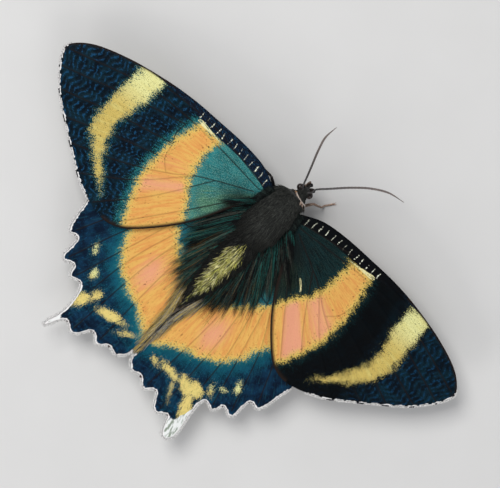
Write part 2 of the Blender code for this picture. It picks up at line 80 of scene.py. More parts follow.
# Bare body under the hair: place along it, half width, half height, height of its middle
BODY = ((-4.15, 0.1, 0.1, 8.65), (-4.08, 0.45, 0.6, 8.65), (-3.85, 0.75, 0.95, 8.65),
        (-3.3, 0.98, 1.25, 8.65), (-2.7, 1.0, 1.25, 8.65), (-2.2, 1.2, 1.4, 8.7),
        (-1.6, 1.95, 2.0, 8.8), (-0.8, 2.85, 3.0, 8.8),
        (0.5, 3.4, 3.8, 8.8), (3.0, 3.9, 4.2, 8.8), (6.0, 3.8, 4.1, 8.8), (8.4, 3.2, 3.5, 8.75),
        (10.0, 2.3, 2.6, 8.6), (10.7, 2.2, 2.3, 8.5), (11.6, 2.5, 2.4, 8.45), (14.5, 2.75, 2.6, 8.3),
        (18.5, 2.55, 2.45, 8.1), (22.2, 2.1, 2.0, 7.9), (25.2, 1.4, 1.3, 7.8), (27.2, 0.7, 0.6, 7.75),
        (28.2, 0.25, 0.25, 7.75), (28.4, 0.05, 0.05, 7.75))
SKIN_SIDES = 64
# The neck bends to the moth's right: place along the body, shift of its middle
NECK_BEND = ((-2.3, -1.2), (-1.75, -0.9), (-0.9, -0.5), (0.3, 0.0))
# Lowest place of a hair above the floor, and size of a hair's patch on the unwrap
LOWEST_HAIR = 0.07
PATCH = 0.003

# Wings, as in the solids
FOREWING_ROOT_HEIGHT = 9.75
HINDWING_BELOW_FOREWING = 1.3
FOREWING_SWING = math.radians(2.2)
FOREWING_ROOT = (0.3, 4.6)
HINDWING_ROOT = (5.1, 9.0)
GAP = 0.32
FOREWING = ((8.0, -1.5), (13.5, -2.1), (20.0, -2.1), (26.0, -1.9), (32.5, -1.1), (40.0, 0.6),
            (46.5, 3.0), (50.0, 5.9), (50.2, 8.0), (48.4, 11.0), (44.9, 14.8), (40.3, 18.2),
            (36.0, 21.3), (31.5, 24.3), (27.5, 26.0), (23.8, 26.8), (20.8, 26.2),
            (17.9, 24.3), (13.5, 19.6), (10.0, 14.6), (6.9, 8.6))
HINDWING_FRONT = ((8.0, 6.4), (14.0, 10.0), (20.0, 15.5), (25.0, 21.0), (26.8, 25.5), (26.4, 29.5),
                  (25.9, 32.4), (25.1, 33.9), (23.9, 33.6), (23.0, 34.0), (22.8, 36.2), (22.9, 37.9),
                  (22.1, 38.7), (20.9, 38.1), (19.9, 38.1), (19.5, 39.4), (18.9, 40.2), (17.6, 39.7),
                  (16.6, 39.8))
HINDWING_REAR = ((12.6, 47.3), (11.6, 48.0), (10.4, 47.6), (9.5, 46.2), (8.7, 45.0), (7.7, 45.1),
                 (6.5, 46.2), (5.4, 45.7), (4.4, 44.8), (3.3, 44.9), (2.2, 45.2), (1.2, 44.4),
                 (0.5, 43.2))
# The right tail lies flat and broad, the left one is rolled narrow
TAILS = {
    "right": ((16.2, 41.2), (16.5, 43.5), (17.0, 45.9), (17.4, 48.2), (17.2, 49.9), (16.3, 50.7),
              (15.2, 50.2), (14.3, 48.4), (13.6, 46.9)),
    "left": ((15.7, 41.4), (15.3, 43.4), (15.2, 45.6), (15.5, 47.6), (16.1, 49.3), (16.2, 50.7),
             (15.5, 49.9), (14.9, 48.6), (14.3, 47.4), (13.5, 46.9)),
}
INNER_MARGIN = ((0.25, 39.5), (0.22, 35.5), (0.4, 31.4))
BESIDE_ABDOMEN = (28.8, 26.0, 22.4, 18.5, 14.5, 11.4)
FOREWING_VEINS = (
    ((5.2, 1.4), (20.0, -0.7), (33.0, -0.1)),
    ((5.4, 2.4), (21.0, 1.4), (34.0, 2.2), (49.4, 6.8)),
    ((24.0, 2.6), (34.0, 5.4), (48.5, 10.2)),
    ((23.4, 7.0), (34.0, 9.8), (45.6, 13.6)),
    ((22.6, 10.0), (32.0, 13.2), (41.4, 16.9)),
    ((6.0, 3.4), (15.0, 8.0), (20.6, 12.0), (29.0, 16.6), (37.4, 19.9)),
    ((16.4, 9.0), (24.0, 17.0), (32.6, 23.2)),
    ((12.8, 6.9), (19.5, 17.0), (27.0, 25.6)),
    ((5.8, 4.6), (12.0, 13.4), (21.6, 26.0)),
    ((24.0, 2.6), (24.2, 5.0), (23.4, 7.0), (22.6, 10.0), (20.6, 12.0)),
)
HINDWING_VEINS = (
    ((5.6, 6.8), (15.0, 12.6), (25.8, 26.5)),
    ((13.0, 14.6), (19.0, 21.5), (24.4, 32.8)),
    ((12.6, 17.2), (17.4, 25.5), (21.8, 37.6)),
    ((5.4, 7.6), (11.0, 16.0), (14.8, 27.5), (18.3, 39.2)),
    ((9.6, 17.0), (13.2, 30.0), (15.0, 46.6)),
    ((7.6, 14.2), (10.2, 29.0), (11.5, 47.0)),
    ((5.2, 9.0), (6.6, 26.0), (6.4, 45.3)),
    ((13.0, 14.6), (12.6, 17.2), (9.6, 17.0), (7.6, 14.2)),
)

# Fine wing membrane
MEMBRANE_THICKNESS = 0.2
MEMBRANE_STEP = 0.36
RIB_HALF_WIDTH = 0.2
RIB_HEIGHT = 0.1
RIPPLE_LENGTH = 1.15
RIPPLE_HEIGHT = 0.06

# Marks on the wings, each band as its outer edge and then its inner edge
PALE_BAND = ((38.3, -1.6), (37.3, 0.7), (37.5, 5.6), (37.8, 9.2), (37.6, 13.4), (36.6, 15.8),
             (33.5, 19.2), (29.9, 22.1), (26.6, 24.2), (26.4, 23.4), (27.7, 21.8), (30.4, 18.7),
             (32.5, 15.1), (33.4, 11.9), (33.0, 8.3), (31.8, 3.8), (31.9, 0.3), (31.6, -1.0))
ORANGE_BAND = ((22.0, 0.2), (22.9, 2.9), (23.8, 6.5), (24.2, 10.5), (24.1, 15.6), (22.9, 19.2),
               (21.6, 23.0), (19.4, 26.8), (11.6, 18.6), (11.7, 16.6), (13.3, 13.7),
               (15.8, 10.6), (16.8, 7.8), (17.2, 4.6), (17.2, 2.2), (16.4, 0.5))
HIND_BAND = ((24.0, 14.0), (17.6, 24.6), (15.9, 29.2), (13.6, 32.1), (10.4, 34.0), (6.0, 35.6),
             (2.9, 37.6), (0.2, 39.6), (0.2, 30.0), (1.6, 27.0), (3.4, 24.0), (6.8, 22.2),
             (11.3, 18.4), (16.0, 12.0))
# Hindwing spots: out, back, long radius, short radius, turn in degrees
HIND_SPOTS = {
    "right": ((19.3, 33.1, 1.0, 0.5, 70), (17.6, 35.6, 0.7, 0.45, 0), (16.0, 37.6, 1.1, 0.6, 60),
              (13.8, 39.5, 2.0, 1.35, 30), (12.0, 40.2, 2.1, 1.3, 30), (14.9, 43.2, 3.4, 1.05, 66),
              (7.7, 40.2, 2.4, 0.85, 8), (4.2, 40.7, 1.0, 0.5, 25), (10.6, 43.2, 1.3, 0.25, 60)),
    "left": ((19.1, 33.0, 0.8, 0.4, 120), (16.1, 36.8, 0.9, 0.5, 100), (13.0, 39.6, 1.5, 1.1, 80),
             (14.3, 41.8, 2.6, 1.0, 66), (8.0, 40.2, 2.9, 1.0, 14), (3.6, 40.8, 1.4, 0.5, 30)),
}
# Where the tails turn white, from their inner side to their outer one
TAIL_START = {"left": (48.0, 46.8, 45.2, 44.0), "right": (47.6, 46.4, 42.6, 39.8)}
# Short pale dash before the right forewing's band
DASH = ((12.07, 9.66), (12.9, 10.4), (13.8, 11.5))

# Feelers, as in the solids: the direction of each root, then points on the middle line
ANTENNAE = {
    "left": ((0.6, -0.4, 0.8), (0.9, -6.0, 11.2), (2.1, -8.4, 13.4), (3.5, -11.1, 16.4),
             (4.7, -14.0, 19.4), (4.9, -16.9, 22.0)),
    "right": ((-0.42, -0.5, 0.75), (-2.2, -5.2, 10.9), (-3.8, -7.2, 11.8), (-6.3, -10.0, 12.1),
              (-9.2, -12.5, 11.5), (-12.4, -14.3, 10.8), (-15.9, -15.0, 10.0)),
}

# Legs, as in the solids: height of a foot's middle line, and for each leg its side, root angle,
# place along the body, knee, ankle, toe
FOOT_HEIGHT = 0.26
LEGS = {
    "leg_fore_left": (1, 40, 0.6, (5.0, -0.6, 6.1), (7.2, -0.2, 1.6), (9.6, 0.9)),
    "leg_fore_right": (-1, 34, 0.6, (4.5, -2.4, 6.0), (6.8, -2.6, 1.6), (8.2, -4.6)),
    "leg_mid_left": (1, 40, 3.4, (9.4, 2.6, 6.1), (12.8, 4.6, 1.6), (17.6, 7.6)),
    "leg_mid_right": (-1, 40, 3.4, (9.4, 2.6, 6.1), (12.8, 4.6, 1.6), (17.6, 7.6)),
    "leg_hind_left": (1, 34, 6.4, (7.6, 12.6, 5.5), (9.6, 20.4, 1.5), (11.6, 28.2)),
    "leg_hind_right": (-1, 34, 6.4, (7.6, 12.6, 5.5), (9.6, 20.4, 1.5), (11.6, 28.2)),
}

# Camera: where it looks on the floor's axes, how far off, and its lean towards the moth's left
CAMERA_LOOKS_AT = Vector((-0.0007, -0.0055, 0.008))
CAMERA_DISTANCE = 0.42
CAMERA_LEAN_LEFT = math.radians(8.2)
CAMERA_LEAN_FORWARD = math.radians(-7.4)
CAMERA_ROLL = math.radians(44.4)
# Focal length in pixels of the 500 pixel wide picture
CAMERA_FOCAL = 2200.6
PICTURE_WIDTH = 500


# Curves and distances

def smooth_path(points, step):
    """Points about one step apart on a curve that passes through the given ones."""
    points = np.array(points, float)
    result = []
    for i in range(len(points) - 1):
        b, c = points[i], points[i + 1]
        a = points[i - 1] if i else 2 * b - c
        d = points[i + 2] if i + 2 < len(points) else 2 * c - b
        t = np.arange(max(1, round(np.linalg.norm(c - b) / step)))[:, None]
        t = t / len(t)
        result.append(0.5 * (2 * b + (c - a) * t + (2 * a - 5 * b + 4 * c - d) * t ** 2
                             + (3 * b - a - 3 * c + d) * t ** 3))
    return np.vstack(result + [points[-1:]])


def between(value, table, column=1):
    return np.interp(value, [row[0] for row in table], [row[column] for row in table])


def clamp(value):
    return np.clip(value, 0, 1)


def unit(vectors):
    """The same directions, one long."""
    return vectors / (np.linalg.norm(vectors, axis=-1, keepdims=True) + 1e-9)


def wing_height(x, y):
    """Height of the forewings' middle surface above the floor, as in the solids."""
    x = np.abs(x)
    ripple = 0.12 * np.sin(x * 0.42 + y * 0.25) * np.minimum(1.0, x / 20.0)
    return FOREWING_ROOT_HEIGHT - 0.028 * x - 0.0006 * x * x - 0.03 * y + ripple


def line_distance(points, path):
    """Distance from each point to a line of points."""
    path = np.asarray(path)
    best = np.full(len(points), 1e9)
    for a, b in zip(path[:-1], path[1:]):
        along = b - a
        share = clamp((points - a) @ along / max(along @ along, 1e-12))
        best = np.minimum(best, np.linalg.norm(points - a - share[:, None] * along, axis=1))
    return best


def is_inside(points, outline):
    """Says which points lie inside a closed outline."""
    odd = np.zeros(len(points), bool)
    for a, b in zip(outline, np.roll(outline, -1, axis=0)):
        if a[1] == b[1]:
            continue
        crosses = (a[1] > points[:, 1]) != (b[1] > points[:, 1])
        reach = a[0] + (points[:, 1] - a[1]) / (b[1] - a[1]) * (b[0] - a[0])
        odd ^= crosses & (points[:, 0] < reach)
    return odd


def depth_inside(points, outline):
    """Distance to an outline, positive inside it."""
    loop = np.vstack([outline, outline[:1]])
    return line_distance(points, loop) * np.where(is_inside(points, outline), 1.0, -1.0)


def spot_depth(points, spots):
    """Rough distance into the nearest oval spot, positive inside it."""
    best = np.full(len(points), -9.0)
    for x, y, long, short, turn in spots:
        off = spin(points - (x, y), -math.radians(turn))
        best = np.maximum(best, (1 - np.hypot(off[:, 0] / long, off[:, 1] / short)) * short)
    return best


def spin(points, turn):
    """Turns flat points about the origin."""
    x, y = points[:, 0], points[:, 1]
    return np.stack([x * math.cos(turn) - y * math.sin(turn), x * math.sin(turn) + y * math.cos(turn)], -1)


def swing(points, pivot, side):
    """Turns a forewing about its root, the left one back and the right one forwards."""
    return pivot + spin(points - pivot, FOREWING_SWING * side)


def thorax_side(y, z):
    up = (z - THORAX_HEIGHT) / between(y, THORAX, 2)
    return between(y, THORAX) * math.sqrt(max(0.0, 1.0 - up * up))


# Meshes

def hand_over(item, material, nodes):
    """Gives a finished object its material and body, and the solids that it stands in for."""
    item.data.materials.append(material)
    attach(item, "root")
    if nodes:
        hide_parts(*nodes)


def make_piece(name, points, faces, material, marks=None, uv=None, slot="fur", nodes=()):
    """Makes one finished object at the origin from points in millimetres and riding on the body."""
    mesh = bpy.data.meshes.new(name)
    faces = [np.asarray(group) for group in (faces if isinstance(faces, list) else [faces])]
    mesh.vertices.add(len(points))
    mesh.vertices.foreach_set("co", ((points - MIDDLE) * MM).astype(np.float32).ravel())
    corners = np.concatenate([group.ravel() for group in faces])
    sizes = np.concatenate([np.full(len(group), group.shape[1]) for group in faces])
    mesh.loops.add(len(corners))
    mesh.loops.foreach_set("vertex_index", corners.astype(np.int32))
    mesh.polygons.add(len(sizes))
    mesh.polygons.foreach_set("loop_start", (np.cumsum(sizes) - sizes).astype(np.int32))
    mesh.update(calc_edges=True)
    mesh.shade_smooth()
    for key, values in (marks or {}).items():
        values = np.asarray(values, np.float32)
        kind, field = MARK_KINDS[values.shape[1:]]
        mesh.attributes.new(key, kind, "POINT").data.foreach_set(field, values.ravel())
    if uv is not None:
        layer = mesh.uv_layers.new(name="OFBake")
        layer.data.foreach_set("uv", np.asarray(uv, np.float32)[corners].ravel())
    item = bpy.data.objects.new(name, mesh)
    bpy.context.scene.collection.objects.link(item)
    hand_over(item, material, nodes)


def path_frame(path):
    """Directions along, across and up at each point of a path."""
    along = unit(np.gradient(path, axis=0))
    across = np.cross(along, (0.0, 0.0, 1.0))
    weak = np.linalg.norm(across, axis=1) < 0.05
    across[weak] = np.cross((0.0, 1.0, 0.0), along[weak])
    across = unit(across)
    return along, across, np.cross(across, along)


def tube_mesh(path, radii, sides, across=None, start=0.5):
    """Points and faces of a closed tube along a path; start is its first corner's place, in sides."""
    if across is None:
        _, across, up = path_frame(path)
    else:
        up = np.cross(unit(np.gradient(path, axis=0)), across)
    turn = (np.arange(sides) + start) * math.tau / sides
    rings = (path[:, None] + (up * radii[:, None])[:, None] * np.cos(turn)[:, None]
             + (across * radii[:, None])[:, None] * np.sin(turn)[:, None])
    return np.vstack([rings.reshape(-1, 3), path[0], path[-1]]), tube_faces(len(path), sides)


def tube_faces(count, sides):
    i, k = np.meshgrid(np.arange(count - 1), np.arange(sides), indexing="ij")
    a, b = i * sides + k, i * sides + (k + 1) % sides
    walls = np.stack([a, b, b + sides, a + sides], -1).reshape(-1, 4)
    k = np.arange(sides)
    start = np.stack([np.full(sides, count * sides), (k + 1) % sides, k], -1)
    last = (count - 1) * sides
    end = np.stack([np.full(sides, count * sides + 1), last + k, last + (k + 1) % sides], -1)
    return [walls, np.vstack([start, end])]


def join_meshes(parts):
    """Puts several tubes' points and faces together."""
    starts = np.cumsum([0] + [len(points) for points, _ in parts])
    groups = [np.vstack([faces[k] + start for (_, faces), start in zip(parts, starts)]) for k in (0, 1)]
    return np.vstack([points for points, _ in parts]), groups


def blades(lines, widths, faces_up, ridge):
    """Thin, flat, tapered hairs or scales along lines of points, joined as one set of arrays.

    lines is (hairs, points, 3), widths is (hairs, points), faces_up is (hairs, 3) or one direction,
    and ridge is the height of a hair's middle in widths.
    """
    count, rows = lines.shape[:2]
    along = unit(np.gradient(lines, axis=1))
    across = unit(np.cross(along, np.broadcast_to(faces_up, (count, 3))[:, None]))
    up = np.cross(across, along)
    half = widths[:, :-1, None] / 2
    stem = lines[:, :-1]
    rings = np.stack([stem - across[:, :-1] * half, stem + across[:, :-1] * half,
                      stem + up[:, :-1] * half * ridge * 2], 2).reshape(count, -1, 3)
    points = np.concatenate([rings, lines[:, -1:]], 1)
    faces = [(0, 2, 1)]
    for i in range(rows - 2):
        for k in range(3):
            a, b = i * 3 + k, i * 3 + (k + 1) % 3
            faces += [(a, b, b + 3), (a, b + 3, a + 3)]
    tip, last = (rows - 1) * 3, (rows - 2) * 3
    faces += [(last + k, last + (k + 1) % 3, tip) for k in range(3)]
    faces = np.array(faces)[None] + (np.arange(count) * points.shape[1])[:, None, None]
    return points.reshape(-1, 3), faces.reshape(-1, 3), points.shape[1]


def patch_uv(root_uv, per_blade):
    """A small patch for each blade at its root's place on the skin's unwrap."""
    steps = np.linspace(0, 1, per_blade)
    patch = np.stack([steps, np.abs(np.sin(steps * 9.0))], -1) * PATCH
    return (root_uv[:, None] + patch[None]).reshape(-1, 2)


def opaque(colour):
    return np.concatenate([colour, np.ones((*colour.shape[:-1], 1))], -1)


def tinge(colour, value, spread):
    """One colour for each hair, between colour and colour + spread."""
    return np.array(colour) + value * spread


def tapers(rng, count, width, low, high, shape):
    """Widths of hairs along their lengths, with each hair a little wider or narrower."""
    return width * rng.uniform(low, high, (count, 1)) * np.asarray(shape)


# Materials

class Wire:
    """A node's output that can be added to, taken from and multiplied."""

    def __init__(self, finish, socket):
        self.finish, self.socket = finish, socket

    def __add__(self, other):
        return self.finish.math("ADD", self, other)

    def __sub__(self, other):
        return self.finish.math("SUBTRACT", self, other)

    def __mul__(self, other):
        return self.finish.math("MULTIPLY", self, other)


class Finish:
    """Builds one material's nodes with short calls."""

    def __init__(self, name):
        self.material = bpy.data.materials.new(name)
        self.material.use_nodes = True
        self.tree = self.material.node_tree
        self.shader = self.tree.nodes["Principled BSDF"]

    def node(self, kind, output=0, **inputs):
        """Adds a node: in0 and so on set its inputs, other names its properties."""
        node = self.tree.nodes.new(kind)
        for key, value in inputs.items():
            if key[2:].isdigit():
                self.put(value, node.inputs[int(key[2:])])
            else:
                setattr(node, key, value)
        return Wire(self, node.outputs[output])

    def put(self, value, socket):
        if isinstance(value, Wire):
            self.tree.links.new(value.socket, socket)
        elif isinstance(value, tuple) and len(value) == 3 and socket.type == "RGBA":
            socket.default_value = (*value, 1.0)
        else:
            socket.default_value = value

    def read(self, name, output="Fac"):
        return self.node("ShaderNodeAttribute", output, attribute_name=name)

    def place(self):
        return self.node("ShaderNodeTexCoord", "Object")

    def math(self, operation, a, b=0.0):
        return self.node("ShaderNodeMath", operation=operation, in0=a, in1=b)

    def rise(self, value, low, high):
        """Goes smoothly from 0 to 1 as value goes from low to high."""
        return self.node("ShaderNodeMapRange", interpolation_type="SMOOTHSTEP", in0=value, in1=low, in2=high)

    def mix(self, share, a, b):
        return self.node("ShaderNodeMix", 2, data_type="RGBA", in0=share, in6=a, in7=b)

    def paint(self, under, over, value, low, high, share=1.0):
        """Lays a colour over another as value goes from low to high, up to the given share."""
        rise = self.rise(value, low, high)
        return self.mix(rise if share == 1.0 else rise * share, under, over)

    def noise(self, vector, scale, detail=2.0):
        """Noise on a place; three numbers as scale stretch it."""
        if isinstance(scale, tuple):
            vector, scale = self.node("ShaderNodeMapping", in0=vector, in3=scale), 1.0
        return self.node("ShaderNodeTexNoise", in0=vector, in2=scale, in3=detail)

    def bump(self, height, strength, distance):
        return self.node("ShaderNodeBump", in0=strength, in1=distance, in3=height)

    def set(self, **values):
        for key, value in values.items():
            self.put(value, self.shader.inputs[key.replace("_", " ")])
        return self.material


def scaled(colour, *gains):
    """A colour times one number, or times one for each of its parts."""
    gains = gains if len(gains) == 3 else gains * 3
    return tuple(part * gain for part, gain in zip(colour, gains))


def wing_finish(name, ground, ripple_highlight, teal, band_gain, hind):
    """Scales of one wing: dark ground, ripples with a painted highlight on their crests, ragged bands, teal
    base and pale rim, and painted shade where a wing lies turned away from the light.
    """
    f = Finish(name)
    place, fan = f.read("place", "Vector"), f.read("fan", "Vector")
    painted_shade = f.read("painted_shade")

    def rayed(out, round_it, detail=3.0):
        """Noise drawn out along the wing's rays."""
        return f.noise(fan, (out, round_it, 1.0), detail)

    slow = rayed(0.45, 0.9) - 0.5
    streak = rayed(0.9, 5.5) - 0.5
    rays = rayed(0.22, 3.2)
    grain = f.noise(place, 5.2)
    speckle = grain - 0.5
    ragged = slow * 2.2 + (streak * 1.9 + speckle * 4.6)

    def edge(mark, shift=0.0, gain=1.0):
        return f.read(mark) + ragged * gain + shift

    # Dark ground with broken blue ripple crests as a painted highlight, near black as painted shade where
    # the wing lies turned away from the light
    crest = f.read("ripple") * 0.85 + (streak * 2.2 + speckle * 2.4)
    lit = f.rise(crest, 0.2, 1.0) * f.rise(slow, -0.26, 0.0)
    cloud = f.noise(place, 0.42, 3.0)
    under = f.paint(scaled(ground, 0.7), scaled(ground, 1.5, 2.4, 2.0), cloud, 0.38, 0.66)
    colour = f.mix(lit, under, ripple_highlight)
    # Darker ripple troughs, as painted shade
    colour = f.paint(colour, scaled(ground, 0.3), crest, -0.35, -0.8, 0.7)
    colour = f.paint(colour, ripple_highlight, grain, 0.62, 0.76, 0.5)
    colour = f.mix(painted_shade * 0.93, colour, (0.0008, 0.0012, 0.0014))
    if hind:
        colour = f.paint(colour, (0.009, 0.055, 0.08), rayed(0.35, 8.0, 2.0), 0.55, 0.68, 0.45)
    # Teal at the wing's base, greener towards its lower side and dark beside the body
    lower = f.read("lower") * 0.9 + (rays - 0.5) * 1.6
    base = f.paint(teal, scaled(teal, 3.6, 1.1, 0.62), lower, 0.0, 0.7)
    base = f.paint(base, scaled(teal, 0.45), cloud, 0.46, 0.64, 0.5)
    base = f.paint(base, scaled(teal, 0.22), speckle, 0.0, 0.12, 0.7)
    wisps = f.rise(rayed(0.3, 4.2), 0.44, 0.62) * (painted_shade * 0.6 + 0.3)
    base = f.mix(wisps, base, scaled(teal, 0.16))
    base = f.paint(base, scaled(teal, 9.0, 1.8, 1.4), speckle, -0.03, -0.13, 0.55)
    base = f.paint(base, (0.004, 0.006, 0.007), f.read("shade"), 0.0, 1.0, 0.95)
    colour = f.paint(colour, base, edge("base", 0.0, 0.6), -0.5, 0.6)
    # Bands: teal scales around, then a yellow rim, orange, and pink where the mark says
    halo = scaled(teal, 0.35, 0.8, 1.1) if hind else scaled(teal, 1.1)
    spread = 3.4 if hind else 0.9
    colour = f.paint(colour, halo, edge("band", spread, 1.3), -0.9, spread + 0.4, 0.9)
    if hind:
        near = f.paint(scaled(teal, 1.5), scaled(teal, 0.5), grain, 0.42, 0.62)
        colour = f.paint(colour, near, edge("band", 0.9), -0.3, 0.7, 0.8)
    gold = f.paint(scaled((0.70, 0.395, 0.10), band_gain), scaled((0.67, 0.30, 0.08), band_gain),
                   rays, 0.4, 0.62)
    gold = f.paint(gold, scaled((0.48, 0.19, 0.04), band_gain), streak, 0.04, 0.2, 0.45)
    pink = f.read("pink") + (rays - 0.5) * 0.5
    gold = f.paint(gold, scaled((0.73, 0.315, 0.20), band_gain), pink, 0.1, 1.05, 0.9)
    gold = f.paint(gold, scaled((0.45, 0.21, 0.06), band_gain), grain, 0.5, 0.75, 0.3)
    yellow = f.paint(scaled((0.66, 0.49, 0.12), band_gain), scaled((0.36, 0.27, 0.05), band_gain),
                     grain, 0.48, 0.66)
    band = f.paint(yellow, gold, edge("band", -0.7, 0.8), -0.7, 0.9)
    holes = f.rise(f.noise(place, 2.6), 0.58, 0.66) * f.rise(f.read("band"), 2.6, 0.3)
    band = f.mix(holes, band, (0.03, 0.026, 0.014))
    worn = f.rise(rayed(1.2, 4.5), 0.62, 0.7) * f.rise(slow, -0.02, 0.1)
    band = f.mix(worn * 0.75, band, (0.14, 0.055, 0.02))
    colour = f.paint(colour, band, edge("band"), -0.05, 0.1)
    # Pale band or spots
    low = (0.70, 0.50, 0.13) if hind else (0.55, 0.41, 0.11)
    pale = f.paint(low, (0.70, 0.68, 0.30), f.read("cream"), 0.0, 1.0)
    pale = f.paint(pale, (0.62, 0.55, 0.19), rays, 0.45, 0.7, 0.5)
    pale = f.paint(pale, (0.28, 0.24, 0.06), grain, 0.5, 0.68, 0.35 if hind else 0.6)
    pale = f.paint(pale, (0.05, 0.05, 0.025), streak + speckle, 0.12, 0.24, 0.7)
    colour = f.paint(colour, halo, edge("pale", 0.55, 1.1), -0.4, 0.9, 0.55)
    colour = f.paint(colour, pale, edge("pale", 0.0, 0.75 if hind else 1.15), -0.03, 0.07)
    if hind:
        tail = f.paint((0.76, 0.77, 0.74), (0.24, 0.28, 0.22), rayed(0.5, 7.0), 0.44, 0.6)
        colour = f.paint(colour, tail, f.read("tail") + streak, 0.25, 0.6)
    else:
        # Dark strip along the front edge with its pale bars, and the pale line behind it
        bars = f.noise(place, (0.7, 0.55, 1.0), 1.0)
        across = f.math("SINE", f.read("along") * 4.35 + bars * 5.0)
        strip = f.paint((0.003, 0.005, 0.011), (0.007, 0.045, 0.095), streak + speckle, 0.05, 0.2)
        # Near black as painted shade on the strip where the wing lies turned away from the light
        strip = f.mix(painted_shade * 0.96, strip, (0.0015, 0.0018, 0.0022))
        colour = f.paint(colour, strip, f.read("costa"), 0.12, -0.1)
        fine = across + (rays - 0.62) * 0.5
        bar = f.rise(fine, 0.84, 0.97) * f.rise(f.read("bars"), 0.0, 0.25)
        colour = f.mix(bar * f.rise(slow + streak, -0.1, -0.02), colour, (0.78, 0.79, 0.62))
        line = f.rise(f.read("edging"), 0.0, 0.14) * f.rise(streak, -0.1, 0.0)
        colour = f.mix(line, colour, (0.72, 0.66, 0.34))
    # Dark ribs, brown front edge and white rim scales
    # No dark ribs where painted shade leaves the wing near black
    unlit = painted_shade * f.rise(f.read("band"), 0.2, -0.2) * f.rise(f.read("base"), 0.4, 0.0)
    rib = (f.rise(f.read("vein"), 0.2, 0.05) * f.rise(f.read("pale"), 0.4, -0.6)
           * f.rise(f.read("tail"), 0.5, 0.0) * f.rise(unlit, 1.05, 0.0))
    on_band = f.paint((0.75, 0.75, 0.75), (0.26, 0.26, 0.26), f.read("band"), -0.2, 0.3)
    colour = f.mix(rib * on_band, colour, (0.01, 0.007, 0.006))
    colour = f.paint(colour, (0.014, 0.009, 0.007), f.read("brown"), 0.0, 1.0)
    colour = f.paint(colour, (0.80, 0.78, 0.76), f.read("white") + streak * 1.2, 0.35, 0.6)
    relief = rayed(4.0, 11.0, 2.0) * 0.6 + grain * 0.4
    return f.set(Base_Color=colour, Roughness=0.55, Specular_IOR_Level=0.05,
                 Normal=f.bump(relief, 0.6, 0.00006))


def tuft_finish(name, roughness):
    """Hair or scales in the colour of their own mark, finely streaked."""
    f = Finish(name)
    streak = f.noise(f.place(), (9000, 3000, 9000))
    tint = f.read("tuft", "Color")
    dark = f.mix(0.55, tint, (0.0, 0.0, 0.0))
    return f.set(Base_Color=f.paint(dark, tint, streak, 0.3, 0.62), Roughness=roughness, Sheen_Weight=0.0,
                 Specular_IOR_Level=0.12, Normal=f.bump(streak, 0.3, 0.00002))


def skin_finish():
    f = Finish("skin")
    speck = f.noise(f.place(), 6000.0)
    colour = f.paint(f.read("tuft", "Color"), (0.02, 0.018, 0.02), speck, 0.35, 0.7)
    return f.set(Base_Color=colour, Roughness=0.8, Normal=f.bump(speck, 0.5, 0.0001))


def eye_finish():
    """Glossy brown-black with fine facets."""
    f = Finish("eye")
    facets = f.node("ShaderNodeTexVoronoi", feature="DISTANCE_TO_EDGE", in0=f.place(), in2=11000.0)
    shade = f.noise(f.place(), 700.0)
    colour = f.paint((0.016, 0.008, 0.005), (0.006, 0.004, 0.004), shade, 0.4, 0.65)
    return f.set(Base_Color=colour, Roughness=0.22, IOR=1.4, Coat_Weight=0.1, Coat_Roughness=0.12,
                 Normal=f.bump(f.rise(facets, 0.0, 0.12), 0.25, 0.00002))


def horn_finish(name, colour, light):
    """Bare limbs: specks and soft blotches of two colours."""
    f = Finish(name)
    place = f.place()
    speck = f.noise(place, 4200.0)
    tint = f.paint(colour, light, speck, 0.48, 0.62)
    tint = f.paint(tint, colour, f.noise(place, 900.0), 0.4, 0.7, 0.6)
    return f.set(Base_Color=tint, Roughness=0.5, Specular_IOR_Level=0.45,
                 Normal=f.bump(speck, 0.4, 0.00004))


def feeler_finish(name):
    """Dark near the head, paler grey-brown towards the tip."""
    f = Finish(name)
    speck = f.noise(f.place(), 9500.0)
    dark = f.paint((0.015, 0.013, 0.013), (0.06, 0.054, 0.053), speck, 0.45, 0.65)
    pale = f.paint((0.08, 0.066, 0.06), (0.24, 0.19, 0.165), speck, 0.42, 0.62)
    return f.set(Base_Color=f.paint(dark, pale, f.read("share"), 0.15, 0.75), Roughness=0.5,
                 Normal=f.bump(speck, 0.4, 0.00004))


# Wings

def vein_distance(points, ribs):
    best = np.full(len(points), 1e9)
    for rib in ribs:
        low, high = rib.min(0) - 3, rib.max(0) + 3
        near = np.all((points > low) & (points < high), axis=1)
        best[near] = np.minimum(best[near], line_distance(points[near], rib))
    return best


def split_wing(outline, ribs, step):
    """Splits a wing into small triangles whose edges follow the rim and the ribs."""
    points = [outline]
    edges = []
    start = len(outline)
    for rib in ribs:
        side = np.gradient(rib, axis=0)[:, ::-1] * (-1, 1)
        side /= np.linalg.norm(side, axis=1)[:, None]
        for offset in (-1, 0, 1):
            points.append(rib + side * (offset * RIB_HALF_WIDTH))
            edges += [(k, k + 1) for k in range(start, start + len(rib) - 1)]
            start += len(rib)
    low, high = outline.min(0), outline.max(0)
    rows = []
    for i, y in enumerate(np.arange(low[1], high[1], step * 0.866)):
        x = np.arange(low[0] + (i % 2) * step / 2, high[0], step)
        rows.append(np.stack([x, np.full(len(x), y)], -1))
    grid = np.vstack(rows)
    rng = np.random.default_rng(5)
    grid += rng.uniform(-0.12, 0.12, grid.shape) * step
    grid = grid[depth_inside(grid, outline) > step * 0.5]
    grid = grid[vein_distance(grid, ribs) > RIB_HALF_WIDTH + step * 0.4]
    flat = [Vector(p) for p in np.vstack([*points, grid])]
    found, _, triangles, *_ = delaunay_2d_cdt(flat, edges, [list(range(len(outline)))], 1, 1e-5)
    return np.array([tuple(p) for p in found]), np.array(triangles)


def wing_root(front, back, height):
    """Three points beside the thorax, from the wing's back to its front."""
    return [(thorax_side(y, height) + GAP, y) for y in (back, (front + back) / 2, front)]


